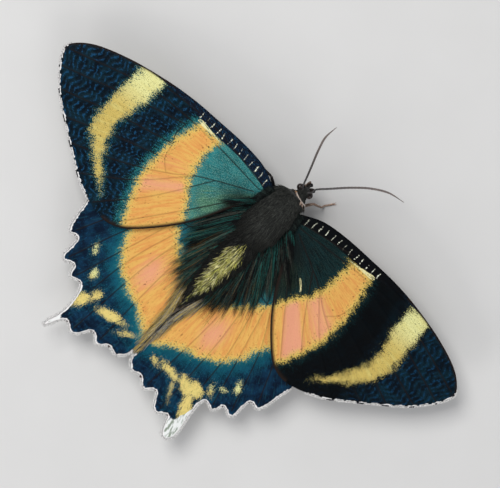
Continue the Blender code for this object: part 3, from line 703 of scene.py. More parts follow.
def wing_rim(step, word, front_wing):
    """Outline of a wing, out and back, before the forewing's swing."""
    if front_wing:
        root = wing_root(*FOREWING_ROOT, FOREWING_ROOT_HEIGHT)
        return np.vstack([smooth_path([root[-1], *FOREWING, root[0]], step), root[1:2]])
    root = wing_root(*HINDWING_ROOT, FOREWING_ROOT_HEIGHT - HINDWING_BELOW_FOREWING)
    beside = [(between(y, ABDOMEN) + GAP + 0.1, y) for y in BESIDE_ABDOMEN]
    rim = smooth_path([root[-1], *HINDWING_FRONT, *TAILS[word], *HINDWING_REAR, *INNER_MARGIN, *beside],
                      step)
    return np.vstack([rim, root[:2]])


def ripples(points, rib_off, share, ends):
    """Short waves across the wing between its ribs, with a shift from each interspace to the next."""
    reach = np.linalg.norm(points, axis=1)
    angle = np.arctan2(points[:, 1] - 8.0, points[:, 0] - 16.0)
    stops = sorted(math.atan2(y - 8.0, x - 16.0) for x, y in ends)
    shift = np.searchsorted(stops, angle) * 0.47
    wobble = shift + 0.5 * np.sin(angle * 21.0) + 0.3 * np.sin(angle * 55.0 + reach * 0.5)
    wave = np.sin(math.tau * (reach / RIPPLE_LENGTH + wobble))
    return wave * clamp(share) * clamp(rib_off / 0.6)


def plate_faces(flat, triangles, side):
    """Faces of a closed plate: the top, the bottom with its points after the top's, and the rim."""
    a, b, c = flat[triangles].transpose(1, 0, 2)
    area = (b - a)[:, 0] * (c - a)[:, 1] - (b - a)[:, 1] * (c - a)[:, 0]
    wrong = (area > 0) != (side > 0)
    triangles[wrong] = triangles[wrong][:, ::-1]
    count = len(flat)
    pairs = np.vstack([triangles[:, (0, 1)], triangles[:, (1, 2)], triangles[:, (2, 0)]]).astype(np.int64)
    rim = pairs[~np.isin(pairs @ (count, 1), pairs @ (1, count))]
    walls = np.stack([rim[:, 1], rim[:, 0], rim[:, 0] + count, rim[:, 1] + count], -1)
    return [np.vstack([triangles, triangles[:, ::-1] + count]), walls]


def wing_unwrap(flat):
    """Place on a wing's own unwrap."""
    return flat / 122.0 + 0.02


def add_wing(word, front_wing, tone):
    """One wing: a thin plate with raised ribs and ripples, its marks held in attributes."""
    side = SIDES[word]
    name = ("forewing_" if front_wing else "hindwing_") + word
    outline = wing_rim(MEMBRANE_STEP, word, front_wing)
    veins = FOREWING_VEINS if front_wing else HINDWING_VEINS
    ribs = [smooth_path(vein, MEMBRANE_STEP) for vein in veins]
    flat, triangles = split_wing(outline, ribs, MEMBRANE_STEP)
    rib_off = vein_distance(flat, ribs)
    rim_off = line_distance(flat, np.vstack([outline, outline[:1]]))
    x, y = flat[:, 0], flat[:, 1]
    if front_wing:
        place, lower, outward = swing(flat, outline[0], side), 0.0, x
        start = 17.0 if word == "left" else 29.0
        rippled, ends = (np.hypot(x, y) - start) / 8.0, [vein[-1] for vein in veins[1:9]]
    else:
        place, lower, outward = flat, HINDWING_BELOW_FOREWING, np.hypot(x, y - 6)
        rippled, ends = (outward - 26.0) / 24.0, [vein[-1] for vein in veins[:7]]
    waves = ripples(flat, rib_off, rippled, ends)
    rib = clamp(1.0 - rib_off / RIB_HALF_WIDTH) ** 0.7 * RIB_HEIGHT * np.clip(1.15 - outward / 60.0, 0.3, 1)
    dish = -0.12 * clamp(rib_off / 2.0)
    middle = wing_height(place[:, 0], place[:, 1]) - lower + dish + waves * RIPPLE_HEIGHT
    thick = MEMBRANE_THICKNESS * np.clip(0.45 + rim_off * 0.4, 0.45, 1)
    points = np.vstack([np.stack([place[:, 0] * side, place[:, 1], height], -1)
                        for height in (middle + rib + thick / 2, middle - thick / 2 - rib * 0.4)])
    marks = wing_marks(flat, outline, rib_off, rim_off, front_wing, waves, word)
    marks = {key: np.concatenate([values, values]) for key, values in marks.items()}
    uv = wing_unwrap(np.vstack([flat, flat + (0, 60.0)]))
    make_piece(name + "_membrane", points, plate_faces(flat, triangles, side),
               wing_finish(name, *tone, hind=not front_wing), marks, uv, "wing", (name,))


def bell(value, middle, width, power=2):
    return np.exp(-((value - middle) / width) ** power)


def wing_marks(flat, outline, rib_off, rim_off, front_wing, waves, word):
    """What the finish reads on each point of a wing."""
    x, y = flat[:, 0], flat[:, 1]
    reach = np.hypot(x - 3, y - 2)
    angle = np.arctan2(y - 2, x - 3)
    marks = {
        "place": np.stack([x, y, 0 * x], -1),
        "fan": np.stack([reach, angle * 14.0, np.full(len(x), 3.0 if word == "left" else 9.0)], -1),
        "vein": rib_off, "ripple": waves, "brown": 0 * x, "tail": 0 * x, "painted_shade": 0 * x,
    }
    if not front_wing:
        band = marks["band"] = depth_inside(flat, np.array(HIND_BAND))
        marks["pale"] = spot_depth(flat, HIND_SPOTS[word]) - 0.05
        marks["lower"] = np.full(len(x), 0.25)
        marks["base"] = np.where((y < 24) & (y - 10 < 1.2 * (19 - x)), -band - 0.2, -4.0)
        marks["pink"] = 0.8 * bell(x, 8.6, 2.8) * bell(y, 29.0, 4.6)
        start = np.interp(x, (14.0, 15.2, 16.1, 17.0), TAIL_START[word])
        marks["tail"] = clamp((y - start) / 1.6 + 0.4) * (x > 13.6)
        marks["white"] = clamp(1.0 - rim_off / 0.5) * (y > 27) * ((x > 4) | (y > 42))
        marks["shade"] = clamp(1.2 - (np.hypot(x, y - 12) - 4.0) / 5.5)
        marks["cream"] = np.clip((38.5 - y) / 2.0, 0.35, 1)
        return marks
    marks["band"] = depth_inside(flat, np.array(ORANGE_BAND))
    marks["pale"] = depth_inside(flat, np.array(PALE_BAND)) - 0.3 - 0.3 * clamp((y - 12) / 10)
    inner = np.array(ORANGE_BAND[8:])
    basal = is_inside(flat, np.vstack([inner, [(16.4, -6), (0, -6), (0, 10), (4, 26)]]))
    marks["base"] = line_distance(flat, inner) * np.where(basal, 1.0, -1.0)
    # Strip along the front edge, its bars, and the pale line between strip and band
    front = line_distance(flat, outline[: len(outline) // 2])
    strip = np.interp(x, (4, 9, 17, 23, 28, 34), (1.7, 2.4, 2.5, 2.0, 0.9, 0.3))
    marks["costa"] = np.where(x < 34, front - strip, 0.5)
    marks["bars"] = np.where((x > 4.8) & (x < 23.5), 0.75 - np.abs(front - strip * 0.62), -1.0)
    line = np.interp(x, (16.5, 19, 22, 22.8), (0.1, 0.25, 0.5, 0.3))
    marks["edging"] = np.where((x > 16.5) & (x < 22.8), line - np.abs(front - strip - 0.3), -1.0)
    marks["along"] = x
    if word == "left":
        pink = 0.75 * bell(angle, 0.64, 0.07) + 0.3 * bell(angle, 0.42, 0.12)
    else:
        pink = bell(angle, 0.83, 0.085, 4) + 0.8 * bell(angle, 0.57, 0.13)
        # Painted shade: the right forewing lies turned away from the light, so it goes near black on its
        # inner part and fades out towards the tip
        marks["painted_shade"] = clamp((35.5 - x + 0.2 * y) / 7.0)
        marks["edging"] = np.maximum(marks["edging"], 0.24 - line_distance(flat, DASH))
    marks["pink"] = clamp(marks["band"] / 1.4) * pink
    marks["cream"] = clamp((9.0 - y) / 7.0)
    marks["lower"] = clamp((angle - 0.45) / 0.5)
    # White dashes on the outer margin, brown on the front tip and the rear edge
    dashes = np.cos(np.hypot(x - 50.2, y - 6.0) / 2.3 * math.tau) > -0.8
    marks["white"] = clamp(1.1 - rim_off / 0.32) * (x > 28.5) * (y > 6.5) * dashes
    rear = clamp(1.0 - rim_off) * (y > 4.0) * (x < 24)
    tip_edge = clamp(1.0 - rim_off / 0.55) * (x > 30) * (y < 9.0)
    marks["brown"] = np.maximum(rear, tip_edge) * 1.2
    marks["shade"] = clamp(1.2 - (reach - 4.0) / 6.0) * clamp((y - 2) / 5)
    return marks


def add_fringe(word, front_wing):
    """Fringe scales along a wing's rim, in dashes on the forewing and in lobes on the hindwing."""
    name = ("forewing_" if front_wing else "hindwing_") + word
    outline = wing_rim(0.11, word, front_wing)
    along = unit(np.gradient(outline, axis=0))
    x, y = outline[:, 0], outline[:, 1]
    if front_wing:
        seed, length, width, dark = 21, 0.34, 0.13, (0.02, 0.02, 0.025)
        keep = (np.arange(len(x)) > np.argmax(x) - 12) & (y > 5.0) & (x > 28.0)
    else:
        seed, length, width, dark = 22, 0.46, 0.12, (0.10, 0.06, 0.05)
        keep = (y > 26.5) & ((x > 4) | (y > 42))
    rng = np.random.default_rng(seed)
    spots, outward = outline[keep], np.stack([along[:, 1], -along[:, 0]], -1)[keep]
    x, y = spots[:, 0], spots[:, 1]
    count = len(x)
    if front_wing:
        vein_ends = np.array([vein[-1] for vein in FOREWING_VEINS[1:-1]])
        near = np.min(np.linalg.norm(spots[:, None] - vein_ends[None], axis=2), axis=1)
        white = near > np.where(y > 14, 0.8, 0.45)
        spots, lower = swing(spots, outline[0], SIDES[word]), 0.0
    else:
        turning = np.gradient(outward, axis=0)
        tips = (np.cross(outward, turning) < 0) & (np.linalg.norm(turning, axis=1) > 0.09)
        white = ~(tips & (rng.random(count) < 0.55))
        lower = HINDWING_BELOW_FOREWING
    reach = length * np.where(white, 1.0, 0.75) * rng.uniform(0.75, 1.15, count)
    lean = outward + rng.normal(0, 0.12, outward.shape)
    level = wing_height(spots[:, 0], spots[:, 1]) - lower + rng.uniform(-0.03, 0.05, count)
    flat = spots[:, None] + lean[:, None] * (reach[:, None] * (-0.12, 0.35, 0.8, 1.0))[..., None]
    lines = np.dstack([flat[..., 0] * SIDES[word], flat[..., 1], np.tile(level[:, None], 4)])
    widths = np.tile(np.array((0.9, 1.1, 0.8, 0.2)) * width, (count, 1))
    points, faces, per_blade = blades(lines, widths, UP, 0.35)
    colour = np.where(white[:, None], (0.86, 0.84, 0.81), dark) * rng.uniform(0.85, 1.0, (count, 1))
    uv = patch_uv(wing_unwrap(np.stack([x, y], -1)), per_blade)
    make_piece(name + "_fringe", points, faces, tuft_finish(name + "_fringe", 0.55),
               {"tuft": np.repeat(opaque(colour), per_blade, 0)}, uv, "wing")


# Body

def body_point(y, angle):
    """Points and normals of the bare body; angle is 0 on top and grows towards the left."""
    wide, high, middle = (between(y, BODY, k) for k in (1, 2, 3))
    wide_ahead, high_ahead = (between(y + 0.3, BODY, k) for k in (1, 2))
    aside = between(y, NECK_BEND)
    sine, cosine = np.sin(angle), np.cos(angle)
    point = np.stack([sine * wide + aside, y, middle + cosine * high], -1)
    normal = unit(np.stack([sine * high, 0 * y, cosine * wide], -1))
    grow = sine ** 2 * (wide_ahead - wide) + cosine ** 2 * (high_ahead - high)
    grow += sine * (between(y + 0.3, NECK_BEND) - aside)
    normal[..., 1] = np.clip(-grow / 0.3, -3, 3)
    return point, unit(normal)


def body_unwrap(y, angle):
    """Place on the skin's own unwrap, cut open along the belly."""
    around = (angle / math.tau + 0.5) % 1.0
    return np.stack([0.05 + 0.4 * around, 0.05 + 0.85 * (y + 5.3) / 34.0], -1)


def patch_half_width(y):
    """Half width of the yellow-green leaf shape on top of the abdomen."""
    return np.interp(y, (7.8, 9.5, 12.0, 15.5, 18.5, 21.0, 23.0, 24.4),
                     (0.0, 0.6, 0.9, 1.05, 0.95, 0.7, 0.35, 0.0))


def body_colour(y, angle, rng):
    """Colour of skin and hair at a place on the body."""
    value = rng.random(y.shape)[..., None]
    sine, cosine = np.sin(angle), np.cos(angle)
    # Blacker towards the sides and the rear of the thorax, where the fans of long hair begin
    aside = clamp(np.abs(sine) * 1.6 - 0.75) * clamp((y - 1) / 4)
    soot = 0.6 * np.maximum(aside, np.clip((y - 5.5) / 4.5, 0, 0.9))
    dark = tinge((0.018, 0.019, 0.018), value ** 2, (0.075, 0.078, 0.066)) * (1 - soot)[..., None]
    # Yellow-green leaf shape with gold hairs, dark ones and faint rings
    leaf = patch_half_width(y) - np.abs(sine) * between(y, BODY)
    leaf = leaf + rng.normal(0, 0.2, y.shape) - 1.2 * clamp((12.5 - y) / 3)
    green = tinge((0.36, 0.37, 0.06), value ** 1.5, (0.56, 0.50, 0.20))
    gold = tinge((0.76, 0.68, 0.26), value, (0.2, 0.24, 0.24))
    green = np.where((rng.random(y.shape) < 0.45 + 0.2 * sine)[..., None], gold, green)
    green = green * np.interp((y * 0.4) % 1, (0, 0.25, 0.5, 1), (0.55, 0.85, 1.1, 1.0))[..., None]
    green = np.where((rng.random(y.shape) < 0.2)[..., None], (0.02, 0.024, 0.01), green)
    colour = np.where(((leaf > 0) & (cosine > 0) & (y > 8.5))[..., None], green, dark)
    # Pale collar, and ochre rings under the abdomen
    collar = (np.abs(y + 1.85 + 0.42 * sine) < 0.06) & (cosine > -0.3)
    colour = np.where(collar[..., None], tinge((0.62, 0.40, 0.30), value, (0.2, 0.22, 0.18)), colour)
    rings = (cosine < -0.35) & (y > 10.5) & (np.sin(y * 2.4) > -0.4)
    return np.where(rings[..., None], tinge((0.42, 0.24, 0.05), value, (0.22, 0.15, 0.05)), colour)


def add_skin():
    """One bare skin under the hair of head, thorax and abdomen."""
    y = np.sort(np.concatenate([[row[0] for row in BODY], np.arange(-5.0, 26.5, 0.3)]))
    angle = np.arange(SKIN_SIDES) * math.tau / SKIN_SIDES - math.pi
    rows, turns = np.meshgrid(y, angle, indexing="ij")
    points, _ = body_point(rows, turns)
    points = np.vstack([points.reshape(-1, 3), points[0].mean(0), points[-1].mean(0)])
    rows, turns = rows.ravel(), turns.ravel()
    colour = body_colour(rows, turns, np.random.default_rng(3))
    colour = np.vstack([colour, colour[:1], colour[-1:]]) * 0.8
    unwrap = np.vstack([body_unwrap(rows, turns), (0.25, 0.045), (0.25, 0.91)])
    faces = [group[:, ::-1] for group in tube_faces(len(y), SKIN_SIDES)]
    make_piece("skin", points, faces, skin_finish(), {"tuft": opaque(colour)}, unwrap,
               nodes=("head", "thorax", "abdomen"))


def comb(y, angle, length, width, lift, spread, rng):
    """Hair lines that leave the skin low, lean back along the body and settle on it."""
    count, rows = len(y), 4
    root, normal = body_point(y, angle)
    back = unit(np.array((0.0, 1.0, 0.0)) - normal * normal[:, 1:2])
    sway = rng.normal(0, 0.16, count) + spread
    heading = back * np.cos(sway)[:, None] + np.cross(normal, back) * np.sin(sway)[:, None]
    length = (length * rng.uniform(0.75, 1.2, count))[:, None, None]
    steps = np.linspace(0, 1, rows)[None, :, None]
    rise = (lift * rng.uniform(0.7, 1.35, count))[:, None, None]
    lines = (root[:, None] - normal[:, None] * 0.08 + heading[:, None] * steps * length
             + normal[:, None] * rise * (steps - 0.48 * steps ** 2) * length)
    return lines, tapers(rng, count, width, 0.8, 1.2, np.linspace(1, 0.35, rows)), normal


def add_coat(name, lines, widths, faces_up, roots, root_colour, tip_colour, finish):
    """Joins a region's hairs into one mesh with a colour from root to tip."""
    lines[..., 2] = np.maximum(lines[..., 2], LOWEST_HAIR)
    points, faces, per_blade = blades(lines, widths, faces_up, 0.3)
    share = np.append(np.repeat(np.linspace(0, 1, lines.shape[1])[:-1], 3), 1.0)[None, :, None]
    colour = root_colour[:, None] * (1 - share) + tip_colour[:, None] * share
    make_piece(name, points, faces, finish, {"tuft": opaque(colour).reshape(-1, 4)},
               patch_uv(roots, per_blade))


def thorax_spread(y, angle):
    return -0.5 * np.sin(angle) * clamp((y - 2) / 6)


def abdomen_spread(y, angle):
    return -0.8 * np.sin(angle) * np.clip((27.5 - y) / 5, 0.1, 1)


# Regions of body hair: name, hairs, places along the body, turns round it, length, width, lift,
# spread to the sides and seed
REGIONS = (
    ("thorax_top", 9000, (-1.7, 7.6), (-1.75, 1.75),
     lambda y, a: 1.1 + 1.5 * clamp((y - 0.5) / 6), 0.14, 0.27, thorax_spread, 31),
    ("thorax_rear", 6500, (5.0, 10.4), (-1.5, 1.5),
     lambda y, a: 3.2 + clamp((y - 7) / 3) * (np.cos(a) + 0.9 * np.sin(a * 19)),
     0.11, 0.26, thorax_spread, 36),
    ("thorax_front", 4200, (-1.75, 0.9), (-math.pi, math.pi),
     lambda y, a: 0.8 + 0.3 * clamp(y), 0.12, 0.2, None, 37),
    ("thorax_under", 5000, (-1.5, 10.0), (math.pi - 1.5, math.pi + 1.5), 1.7, 0.17, 0.4, None, 32),
    ("abdomen_top", 9000, (10.2, 28.0), (-1.35, 1.35),
     lambda y, a: 2.5 - 0.9 * clamp((y - 20) / 6), 0.19, 0.26, abdomen_spread, 33),
    ("abdomen_under", 7000, (10.2, 28.0), (1.3, math.tau - 1.3), 1.5, 0.16, 0.25, None, 34),
    ("head", 3600, (-4.1, -1.9), (-math.pi, math.pi), 0.5, 0.07, 0.6, None, 35),
)


def body_hair(name, count, span, turn, length, width, lift, spread, seed, finish):
    """One region of body hair, spread evenly between two places along the body."""
    rng = np.random.default_rng(seed)
    y = rng.uniform(*span, count * 3)
    chance = between(y, BODY) + 0.6
    y = y[rng.random(len(y)) < chance / chance.max()][:count]
    angle = rng.uniform(*turn, len(y))
    size = length(y, angle) if callable(length) else length
    lines, widths, normal = comb(y, angle, size, width, lift, spread(y, angle) if spread else 0.0, rng)
    colour = body_colour(y, angle, rng)
    tip = colour * rng.uniform(0.85, 1.25, (len(y), 1))
    add_coat("coat_" + name, lines, widths, normal, body_unwrap(y, angle), colour * 0.72, tip, finish)


def add_body_hair():
    share = bpy.context.scene.moth_looks.hair_share / 100
    finish = tuft_finish("body_hair", 0.62)
    for name, count, *region in REGIONS:
        body_hair(name, int(count * share), *region, finish)
    add_collar(finish)
    add_tail_brush(finish)
    for word in SIDES:
        add_side_fan(word, int(350 * share), finish)
        add_margin_hair(word, int(3400 * share), finish)


def add_collar(finish):
    """A raised cream line of hairs between head and thorax, with its two bright tufts."""
    rng = np.random.default_rng(41)
    count = 1300
    angle = rng.uniform(-2.0, 1.0, count)
    y = -1.9 - 0.42 * np.sin(angle) + rng.normal(0, 0.02, count)
    lines, widths, normal = comb(y, angle, 0.42, 0.075, 1.1, 0.0, rng)
    value = rng.random((count, 1))
    colour = tinge((0.80, 0.66, 0.54), value, (0.18, 0.22, 0.26))
    tuft = (angle > 0.72) & (rng.random(count) < 0.8)
    colour[tuft] = tinge((0.62, 0.27, 0.08), value[tuft], (0.14, 0.12, 0.05))
    colour[(np.abs(angle + 0.2) < 0.3) & (rng.random(count) < 0.2)] *= 0.3
    add_coat("coat_collar", lines, widths, normal, body_unwrap(y, angle), colour * 0.85, colour, finish)


def add_tail_brush(finish):
    """The brush of longer hairs that ends the abdomen in a point."""
    rng = np.random.default_rng(42)
    count = 1500
    y = rng.uniform(25.0, 28.2, count)
    angle = rng.uniform(-math.pi, math.pi, count)
    lines, widths, normal = comb(y, angle, 3.1 - 0.3 * (y - 25.0), 0.13, 0.02, 0.0, rng)
    inwards = (lines[:, -1:] - (0, 0, BODY[-1][3])) * (0.65, 0, 0.65)
    lines = lines - inwards * np.linspace(0, 1, lines.shape[1])[:, None] ** 1.5
    colour = body_colour(y, angle, rng)
    add_coat("coat_tail", lines, widths, normal, body_unwrap(y, angle), colour * 0.7, colour, finish)


def wing_top(x, y):
    """Height of whichever wing is on top at a place beside the body."""
    off = y - (3.0 + 1.18 * (x - 4.0))
    return wing_height(x, y) - np.where(off > 1.5, HINDWING_BELOW_FOREWING, 0.0) + 0.25


def lay(x, y, heading, length, rng, side, arch, bend, rows=5):
    """Hair lines that lie on the wings, from their roots towards a heading from straight back."""
    steps = np.linspace(0, 1, rows)
    angle = (heading[:, None] + bend[:, None] * steps)[:, :-1]
    size = length[:, None] / (rows - 1)
    still = np.zeros((len(x), 1))
    x = x[:, None] + np.hstack([still, np.cumsum(np.sin(angle) * size, 1)])
    y = y[:, None] + np.hstack([still, np.cumsum(np.cos(angle) * size, 1)])
    layer = rng.uniform(0.02, 0.5, (len(x), 1))
    z = wing_top(x, y) + layer * (1.6 - steps) + arch * np.sin(steps * math.pi)
    return np.stack([x * side, y, z], -1)


def add_side_fan(word, clumps, finish):
    """Long dark hairs that fan in clumps from the thorax's rear corners over the wings' bases."""
    side = SIDES[word]
    rng = np.random.default_rng(51 if word == "left" else 52)
    hairs, rows = 16, 5
    count = clumps * hairs
    y = rng.uniform(3.2, 16.5, clumps)
    x = between(y, BODY) * rng.uniform(0.7, 1.02, clumps)
    heading = np.interp(y, (3.2, 6.0, 8.5, 11.0, 16.5), (1.0, 0.85, 0.6, 0.34, 0.08))
    heading = heading * (0.7 if word == "left" else 0.9) + rng.normal(0, 0.1, clumps)
    length = np.interp(y, (3.2, 6.5, 10.6, 16.5), (5.5, 12.5, 14.5, 10.0)) * rng.uniform(0.45, 1.1, clumps)
    bend = rng.normal(-0.08, 0.12, clumps)
    # Every eighth clump sends longer, looser hairs over the band
    loose = np.arange(clumps) % 8 == 0
    length = np.where(loose, length * 1.2 + 1.0, length)

    def each(values, spread):
        return np.repeat(values, hairs) + rng.normal(0, spread, count)

    def by_clump(if_loose, if_tight):
        return np.repeat(np.where(loose, if_loose, if_tight), hairs)

    lines = lay(each(x, 0.2), each(y, 0.25),
                each(heading, 0.04) + by_clump(1.6, 0.0) * rng.normal(0, 0.04, count),
                np.abs(each(length, 0.7)), rng, side, 0.2, each(bend, 0.05))
    lines = lines.reshape(clumps, hairs, rows, 3)
    pull = np.linspace(0, 0.82, rows)[:, None] * np.where(loose, 0.1, 1.0)[:, None, None, None]
    lines = lines + (lines.mean(1, keepdims=True) - lines) * pull * (1, 1, 0.3)
    lines = lines.reshape(-1, rows, 3)
    lines[:, 0, 2] -= 0.6
    widths = tapers(rng, count, 0.085, 0.6, 1.2, np.linspace(1, 0.3, rows)) * by_clump(0.75, 1.0)[:, None]
    kind = np.repeat(rng.random(clumps), hairs)[:, None]
    value = rng.random((count, 1))
    # Black clumps, with grey clumps as painted highlights and teal clumps as painted glints on the strands
    black = tinge((0.003, 0.0035, 0.004), value ** 3, (0.02, 0.021, 0.021))
    grey = tinge((0.025, 0.029, 0.026), value ** 2, (0.16, 0.175, 0.13))
    glint = tinge((0.006, 0.046, 0.040), value, (0.03, 0.16, 0.13))
    base = np.where(kind < 0.5, black, np.where(kind < 0.66, grey, glint))
    over_band = depth_inside(np.abs(lines[:, -1, :2]), np.array(HIND_BAND)) > -0.2
    brown = tinge((0.06, 0.035, 0.012), value ** 2, (0.4, 0.24, 0.06))
    tip = np.where(((rng.random(count) < 0.14) & over_band)[:, None], brown, base)
    spot = body_unwrap(np.repeat(y, hairs), np.full(count, 1.3 * side))
    add_coat("coat_fan_" + word, lines, widths, UP, spot, base * 0.6, tip, finish)
    add_shoulder(word, rng, finish)


def add_shoulder(word, rng, finish):
    """Short scaly hairs where the forewing joins the thorax."""
    side, count = SIDES[word], 2600
    y = rng.uniform(0.4, 4.8, count)
    x = between(y, BODY) * rng.uniform(0.85, 1.05, count)
    heading = rng.normal(1.25, 0.2, count)
    length = rng.uniform(0.6, 1.5, count)
    lines = lay(x, y, heading, length, rng, side, 0.1, rng.normal(0, 0.15, count), 4)
    widths = tapers(rng, count, 0.11, 0.7, 1.2, np.linspace(1, 0.4, 4))
    tip = tinge((0.006, 0.010, 0.010), rng.random((count, 1)) ** 3, (0.06, 0.09, 0.075))
    spot = body_unwrap(y, np.full(count, 1.2 * side))
    add_coat("coat_shoulder_" + word, lines, widths, UP, spot, tip * 0.25, tip, finish)


def add_margin_hair(word, count, finish):
    """Straight grey-golden hairs along the hindwing's inner margin, beside the abdomen and past it."""
    side = SIDES[word]
    rng = np.random.default_rng(61 if word == "left" else 62)
    y = rng.uniform(14.0, 41.0, count)
    inner = np.interp(y, (14.0, 18.5, 22.4, 26.0, 28.8, 31.4, 40.0), (3.3, 3.1, 2.7, 1.8, 1.1, 0.35, 0.2))
    across = np.abs(rng.normal(0, 1, count)) * np.interp(y, (19, 26, 33, 41), (0.35, 0.7, 0.55, 0.25)) - 0.3
    x = np.maximum(inner + across, 0.1)
    follow = np.interp(y, (14.0, 20.0, 25.0, 30.0, 33.0), (-0.05, -0.16, -0.24, -0.2, 0.0))
    heading = follow + rng.normal(0.02, 0.05, count) + 0.06 * across
    length = rng.uniform(2.0, 4.6, count) * np.interp(y, (19, 33, 41), (1.2, 1.0, 0.4))
    lines = lay(x, y, heading, length, rng, side, 0.04, rng.normal(0.03, 0.05, count))
    lines[..., 0] = side * np.maximum(np.abs(lines[..., 0]), 0.06)
    lines[..., 2] = (wing_height(lines[..., 0], lines[..., 1]) - HINDWING_BELOW_FOREWING + 0.1
                     + rng.uniform(0, 0.3, (count, 1)))
    widths = tapers(rng, count, 0.07, 0.6, 1.2, np.linspace(1, 0.3, 5))
    value = rng.random((count, 1))
    grey = tinge((0.20, 0.20, 0.19), value ** 2, (0.45, 0.42, 0.38))
    gold = tinge((0.62, 0.43, 0.12), value, (0.25, 0.25, 0.12))
    dark = tinge((0.004, 0.005, 0.006), value ** 2, (0.03, 0.032, 0.034))
    pick = rng.random((count, 1))
    light = (clamp((across + 0.35) / 0.4) * clamp((y - 21) / 5))[:, None]
    gold_share = 0.62 if word == "left" else 0.4
    colour = np.where(pick < gold_share * light, gold, np.where(pick < 0.9 * light, grey, dark))
    spot = body_unwrap(np.clip(y, -5, 26), np.full(count, 1.5 * side))
    add_coat("coat_margin_" + word, lines, widths, UP, spot, colour * 0.75, colour, finish)


# Head and limbs

def eye_centre(side):
    return HEAD_CENTRE + (EYE_OUT * side, -EYE_AHEAD, 0)


def add_eyes():
    """Two glossy balls, left at the origin once their place and scale are applied."""
    finish = eye_finish()
    for word, side in SIDES.items():
        bpy.ops.object.select_all(action="DESELECT")
        place = (eye_centre(side) - MIDDLE) * MM
        bpy.ops.mesh.primitive_uv_sphere_add(segments=48, ring_count=28, radius=1.0, location=place)
        ball = bpy.context.object
        ball.name = ball.data.name = "eyeball_" + word
        ball.scale = (EYE_RADIUS * MM,) * 3
        bpy.ops.object.transform_apply(location=True, rotation=True, scale=True)
        bpy.ops.object.shade_smooth()
        hand_over(ball, finish, ("eye_" + word,))


def add_eye_rims(finish):
    """Short scales of the face that overlap the rim of each eye."""
    rng = np.random.default_rng(74)
    count = 420
    for word, side in SIDES.items():
        turn = rng.uniform(0, math.tau, count)
        around = np.stack([0 * turn, np.cos(turn), np.sin(turn)], -1)
        outward = np.array((side, 0.0, 0.0))
        first = eye_centre(side) + around * EYE_RADIUS * 1.08 - outward * rng.uniform(0.25, 0.5, (count, 1))
        length = rng.uniform(0.35, 0.6, (count, 1))
        lean = outward - around * 0.35 + rng.normal(0, 0.12, (count, 3))
        lines = np.stack([first + lean * length * share + around * 0.25 * share * (1 - share)
                          for share in (0.0, 0.35, 0.7, 1.0)], 1)
        widths = tapers(rng, count, 0.07, 0.7, 1.2, (1.0, 1.0, 0.8, 0.3))
        value = 0.6 + 0.8 * rng.random((count, 1))
        light = rng.random((count, 1)) < 0.12
        colour = np.where(light, (0.3, 0.24, 0.19), (0.03, 0.026, 0.026)) * value
        spot = np.stack([0.6 + 0.05 * side + 0.01 * np.cos(turn), 0.8 + 0.01 * np.sin(turn)], -1)
        add_coat("coat_eye_rim_" + word, lines, widths, around, spot, colour * 0.6, colour, finish)


def limb_scales(path, radii, count, length, width, rng, lift):
    """Small flat scales that lie along a limb, all round it."""
    _, across, up = path_frame(path)
    steps = np.concatenate([[0], np.cumsum(np.linalg.norm(np.diff(path, axis=0), axis=1))])
    spot = rng.uniform(0, steps[-1] - length * 0.7, count)
    turn = rng.uniform(0, math.tau, (count, 1))

    def at(where, table):
        return np.stack([np.interp(where, steps, column) for column in table.T], -1)

    radial = unit(at(spot, up) * np.cos(turn) + at(spot, across) * np.sin(turn))
    size = length * rng.uniform(0.7, 1.2, count)
    lines = np.stack([at(spot + size * s, path)
                      + radial * (at(spot + size * s, radii[:, None]) - 0.02 + (lift * s * size)[:, None])
                      for s in (0.0, 0.4, 0.75, 1.0)], 1)
    return lines, tapers(rng, count, width, 0.8, 1.2, (0.8, 1.1, 0.9, 0.2)), radial, spot / steps[-1]


def head_point(direction, gap):
    """A place on the head's oval or a gap away from it, with its normal."""
    point = HEAD_RADII * unit(np.array(direction))
    normal = unit(point / HEAD_RADII ** 2)
    return HEAD_CENTRE + point + normal * gap, normal


def ringed(count, depth):
    """Gains that make a tube slightly thicker and thinner in turn."""
    return 1.0 + depth * np.sin(np.arange(count) * math.pi / 1.5)


def add_antenna(word):
    """A thin ringed feeler, dark near the head and paler grey-brown towards its tip."""
    name, sides = "antenna_" + word, 14
    root, *points = ANTENNAE[word]
    start, normal = head_point(root, -0.5)
    path = smooth_path([start, start + normal * 1.3, *points], 0.22)
    share = np.linspace(0, 1, len(path))
    radii = (0.17 + 0.04 * np.sin(share * 2.6)) * np.clip((1 - share) / 0.22, 0.18, 1) ** 0.6
    radii *= ringed(len(path), 0.1)
    radii[:5] = np.linspace(0.3, 0.19, 5)
    marks = {"share": np.append(np.repeat(share, sides), (0.0, 1.0))}
    make_piece("feeler_" + word, *tube_mesh(path, radii, sides), feeler_finish(name), marks,
               slot="horn", nodes=(name,))


def add_palps(finish):
    rng = np.random.default_rng(71)
    count = 900
    for word, side in SIDES.items():
        kept, root, *tip = PALPS[word]
        start, normal = head_point(root, -0.3)
        path = smooth_path([start, start + normal * 0.8 + (0, 0, 0.2), *tip], 0.25)
        path = path[: int(len(path) * kept)]
        share = np.linspace(0, 1, len(path))
        radii = (0.27 + 0.08 * np.sin(share * math.pi)) * np.clip((1 - share) / 0.15, 0.45, 1)
        make_piece("palp_core_" + word, *tube_mesh(path, radii, 12),
                   horn_finish("palp_" + word, (0.02, 0.015, 0.012), (0.06, 0.04, 0.03)),
                   nodes=("palp_" + word,))
        lines, widths, radial, place = limb_scales(path, radii, count, 0.36, 0.08, rng, 0.3)
        colour = np.where((place > 0.6)[:, None], (0.015, 0.014, 0.014), (0.035, 0.026, 0.022))
        colour = colour * (0.6 + 0.8 * rng.random((count, 1)))
        spot = 0.62 + 0.02 * side + np.stack([place * 0.01, place * 0.05], -1)
        add_coat("coat_palp_" + word, lines, widths, radial, spot, colour * 0.6, colour, finish)


